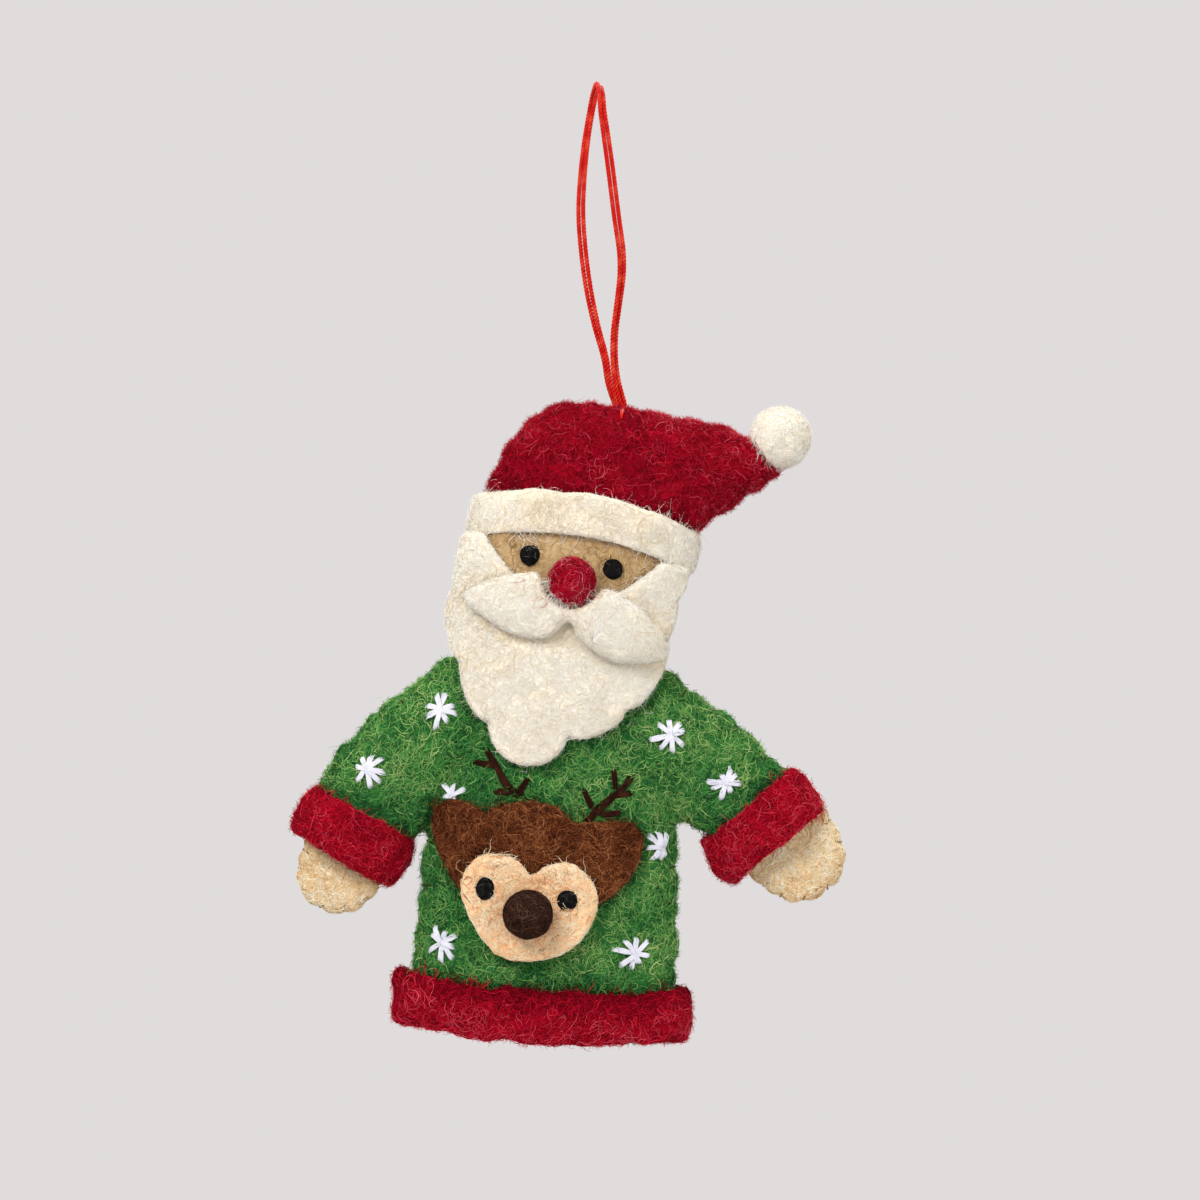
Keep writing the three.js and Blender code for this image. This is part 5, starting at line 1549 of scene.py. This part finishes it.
fibre_jobs = [
    (hat_front, red_wool, ("hat_front_fibres", 4700, 201, hat_lie), ("hat_stray_fibres", 40, 245, stray),
     ("hat_front_down", 8000, 251, seam_down)),
    (hat_back, red_wool, ("hat_back_fibres", 3000, 202, hat_lie), ("hat_back_down", 6000, 252, seam_down)),
    (head_front, tan_wool, ("head_front_fibres", 900, 203, tan_lie)),
    (head_back, cream_wool, ("head_back_fibres", 2600, 204, soft_lie)),
    (brim_mesh, cream_wool, ("brim_fibres_a", 2600, 205, soft_lie), ("brim_fibres_b", 1900, 246, open_lie),
     ("brim_down", 4500, 253, soft_down)),
    (jumper_front, green_wool, ("jumper_front_fibres_a", 4600, 206, thin_lie),
     ("jumper_front_fibres_b", 4600, 207, thick_lie), ("jumper_front_fibres_c", 4600, 241, thin_lie),
     ("jumper_front_fibres_d", 4600, 242, thin_lie), ("jumper_front_down", 8000, 254, seam_down),
     ("jumper_stray_fibres", 60, 249, stray)),
    (jumper_back, green_wool, ("jumper_back_fibres_a", 4600, 208, thin_lie),
     ("jumper_back_fibres_b", 3000, 219, thick_lie), ("jumper_back_down", 5000, 255, seam_down)),
    (hem_mesh, band_wool, ("hem_fibres", 4600, 209, band_lie), ("hem_down", 6000, 256, band_down)),
    (cuff_left, band_wool, ("cuff_left_fibres", 2300, 210, band_lie)),
    (cuff_right, band_wool, ("cuff_right_fibres", 2300, 211, band_lie)),
    (cuff_left, band_wool, ("cuff_left_down", 3000, 257, band_down)),
    (cuff_right, band_wool, ("cuff_right_down", 3000, 258, band_down)),
    (beard_mesh, cream_wool, ("beard_fibres_a", 4500, 212, soft_lie),
     ("beard_fibres_b", 3600, 244, open_lie), ("beard_stray_fibres", 50, 247, stray),
     ("beard_down", 7000, 259, soft_down)),
    (moustache_mesh, cream_wool, ("moustache_fibres_a", 2000, 213, soft_lie),
     ("moustache_fibres_b", 1500, 248, open_lie), ("moustache_down", 3000, 260, soft_down)),
    (moustache_mesh, nose_wool, ("moustache_stray_fibres", 36, 240, dict(width=0.06, near=by_nose))),
    (nose_mesh, nose_wool, ("nose_fibres", 380, 214, round_lie),
     ("nose_down", 500, 261, dict(down, fuzz=0.4))),
    (pompom_mesh, cream_wool, ("pompom_fibres", 1400, 215, dict(soft_lie, length=5.0)),
     ("pompom_down", 2200, 262, soft_down)),
    (deer_head_mesh, brown_wool, ("reindeer_head_fibres", 2400, 216, patch_lie)),
    (deer_face_mesh, peach_wool, ("reindeer_face_fibres", 2000, 217, face_lie)),
    (deer_face_mesh, brown_wool, ("reindeer_face_brown_fibres", 110, 243, crown_lie)),
    (deer_nose_mesh, umber_wool,
     ("reindeer_nose_fibres", 260, 218, dict(round_lie, length=3.0, near=by_front))),
    (deer_face_mesh, peach_wool, ("reindeer_face_down", 900, 263, soft_down)),
    (deer_head_mesh, brown_wool, ("reindeer_head_down", 2400, 264, dict(down, fuzz=0.9))),
]
for number, ((word, face), mesh) in enumerate(hand_meshes.items()):
    name = f"hand_{word}_{face}"
    fibre_jobs.append((mesh, straw_wool, (name + "_fibres", 1200, 220 + number, hand_lie),
                       (name + "_down", 900, 270 + number, soft_down)))
for start, meshes, seed in (("eye", eyes, 230), ("reindeer_eye", deer_eyes, 234)):
    for number, (word, mesh) in enumerate(meshes.items()):
        fibre_jobs.append((mesh, black_wool, (f"{start}_{word}_fibres", 45, seed + number, eye_lie)))
for mesh, material, *jobs in fibre_jobs:
    for name, count, seed, options in jobs:
        fibres(name, mesh, count, material, seed, **options)

# ---------------------------------------------------------------- the felt pieces themselves

padded = [
    ("hat_front_felt", hat_front, red_felt, 0.5, ["hat_front", "hat_stuffing"]),
    ("hat_back_felt", hat_back, red_felt, 0.5, ["hat_back"]),
    ("head_front_felt", head_front, tan_felt, 0.7, ["head_face", "head_stuffing"]),
    ("head_back_felt", head_back, cream_felt, 0.7, ["head_back"]),
    ("jumper_front_felt", jumper_front, green_felt, 0.6,
     ["jumper_front", "sleeve_left_front", "sleeve_right_front", "jumper_stuffing",
      "sleeve_left_stuffing", "sleeve_right_stuffing"]),
    ("jumper_back_felt", jumper_back, green_felt, 0.6,
     ["jumper_back", "sleeve_left_back", "sleeve_right_back"]),
    ("hat_brim_felt", brim_mesh, cream_felt, 0.8, ["hat_brim"]),
    ("hem_felt", hem_mesh, red_felt, 0.8, ["hem_band"]),
    ("moustache_felt", moustache_mesh, cream_felt, 0.6, ["moustache"]),
    ("pompom_felt", pompom_mesh, cream_felt, 0.95, ["hat_pompom"]),
    ("nose_felt", nose_mesh, red_felt, 0.95, ["nose"]),
    ("reindeer_nose_felt", deer_nose_mesh, umber_felt, 0.95, ["reindeer_nose"]),
]
for word in ("left", "right"):
    for node, mesh, material, fill in (
        (f"cuff_{word}", cuff_meshes[word], red_felt, 0.8),
        (f"hand_{word}_front", hand_meshes[word, "front"], straw_felt, 0.5),
        (f"hand_{word}_back", hand_meshes[word, "back"], straw_felt, 0.5),
        (f"eye_{word}", eyes[word], black_felt, 0.8),
        (f"reindeer_eye_{word}", deer_eyes[word], black_felt, 0.8),
    ):
        padded.append((node + "_felt", mesh, material, fill, [node]))
for name, mesh, material, fill, nodes in padded:
    piece(name, mesh, material, replaces=nodes)

for node, mesh, flat, faces, material, under in (
    ("beard", beard_mesh, beard_flat, beard_faces, cream_felt, "jumper_front_felt"),
    ("reindeer_head", deer_head_mesh, deer_head_flat, deer_head_faces, brown_felt, "jumper_front_felt"),
    ("reindeer_face", deer_face_mesh, deer_face_flat, deer_face_faces, peach_felt, "reindeer_head_felt"),
):
    obj = piece(node + "_felt", mesh, material, replaces=[node])

# ---------------------------------------------------------------- floor and light, in metres

FLOOR_RADIUS = 0.33
FLOOR_LEVEL = -0.33
WORLD_LIGHT = 0.54
LAMPS = (
    ("key", (-0.45, -0.75, 0.42), (0, 0, -0.1), 0.45, 7.6),
    ("fill", (0.6, -0.7, -0.05), (0, 0, -0.12), 0.6, 2.6),
    ("top", (0.05, 0.05, 0.75), (0, 0, -0.1), 0.5, 2.8),
    ("back", (0.1, 0.8, 0.25), (0, 0, -0.1), 0.6, 4.4),
)


def make_floor():
    bm = bmesh.new()
    bmesh.ops.create_circle(bm, cap_ends=True, radius=FLOOR_RADIUS, segments=96)
    mesh = mesh_from("floor", bm)
    floor = add_object("floor", mesh)
    floor.location = (0, 0, FLOOR_LEVEL)
    g = new_graph("floor_paint")
    grain = g.noise(g.place(), 0.02, 2.0).outputs[0]
    paint = g.mix(grain, linear(196, 193, 194), linear(204, 201, 202))
    mesh.materials.append(g.shaded({"Base Color": paint, "Roughness": 0.9}))


def make_lamp(name, place, aim, size, power):
    data = bpy.data.lights.new(name, "AREA")
    data.shape = "DISK"
    data.size = size
    data.energy = power
    lamp = add_object(name, data)
    lamp.location = place
    lamp.rotation_mode = "QUATERNION"
    lamp.rotation_quaternion = (Vector(aim) - Vector(place)).to_track_quat("-Z", "Y")


def make_world():
    world = bpy.data.worlds.new("studio")
    bpy.context.scene.world = world
    g = Graph(world)
    g.nodes.clear()
    rays = g.node("LightPath").outputs
    light = g.node("Background", {"Color": (1.0, 1.0, 1.0, 1), "Strength": WORLD_LIGHT}).outputs[0]
    seen = g.node("Background", {"Color": linear(224, 220, 220), "Strength": 1.0}).outputs[0]
    direct = g.math("MAXIMUM", rays["Is Camera Ray"], rays["Is Glossy Ray"])
    direct = g.math("MAXIMUM", direct, rays["Is Transmission Ray"])
    mix = g.node("MixShader", {0: direct, 1: light, 2: seen}).outputs[0]
    g.node("OutputWorld", {"Surface": mix})


make_floor()
for lamp in LAMPS:
    make_lamp(*lamp)
make_world()
bpy.context.scene.view_settings.view_transform = "Standard"
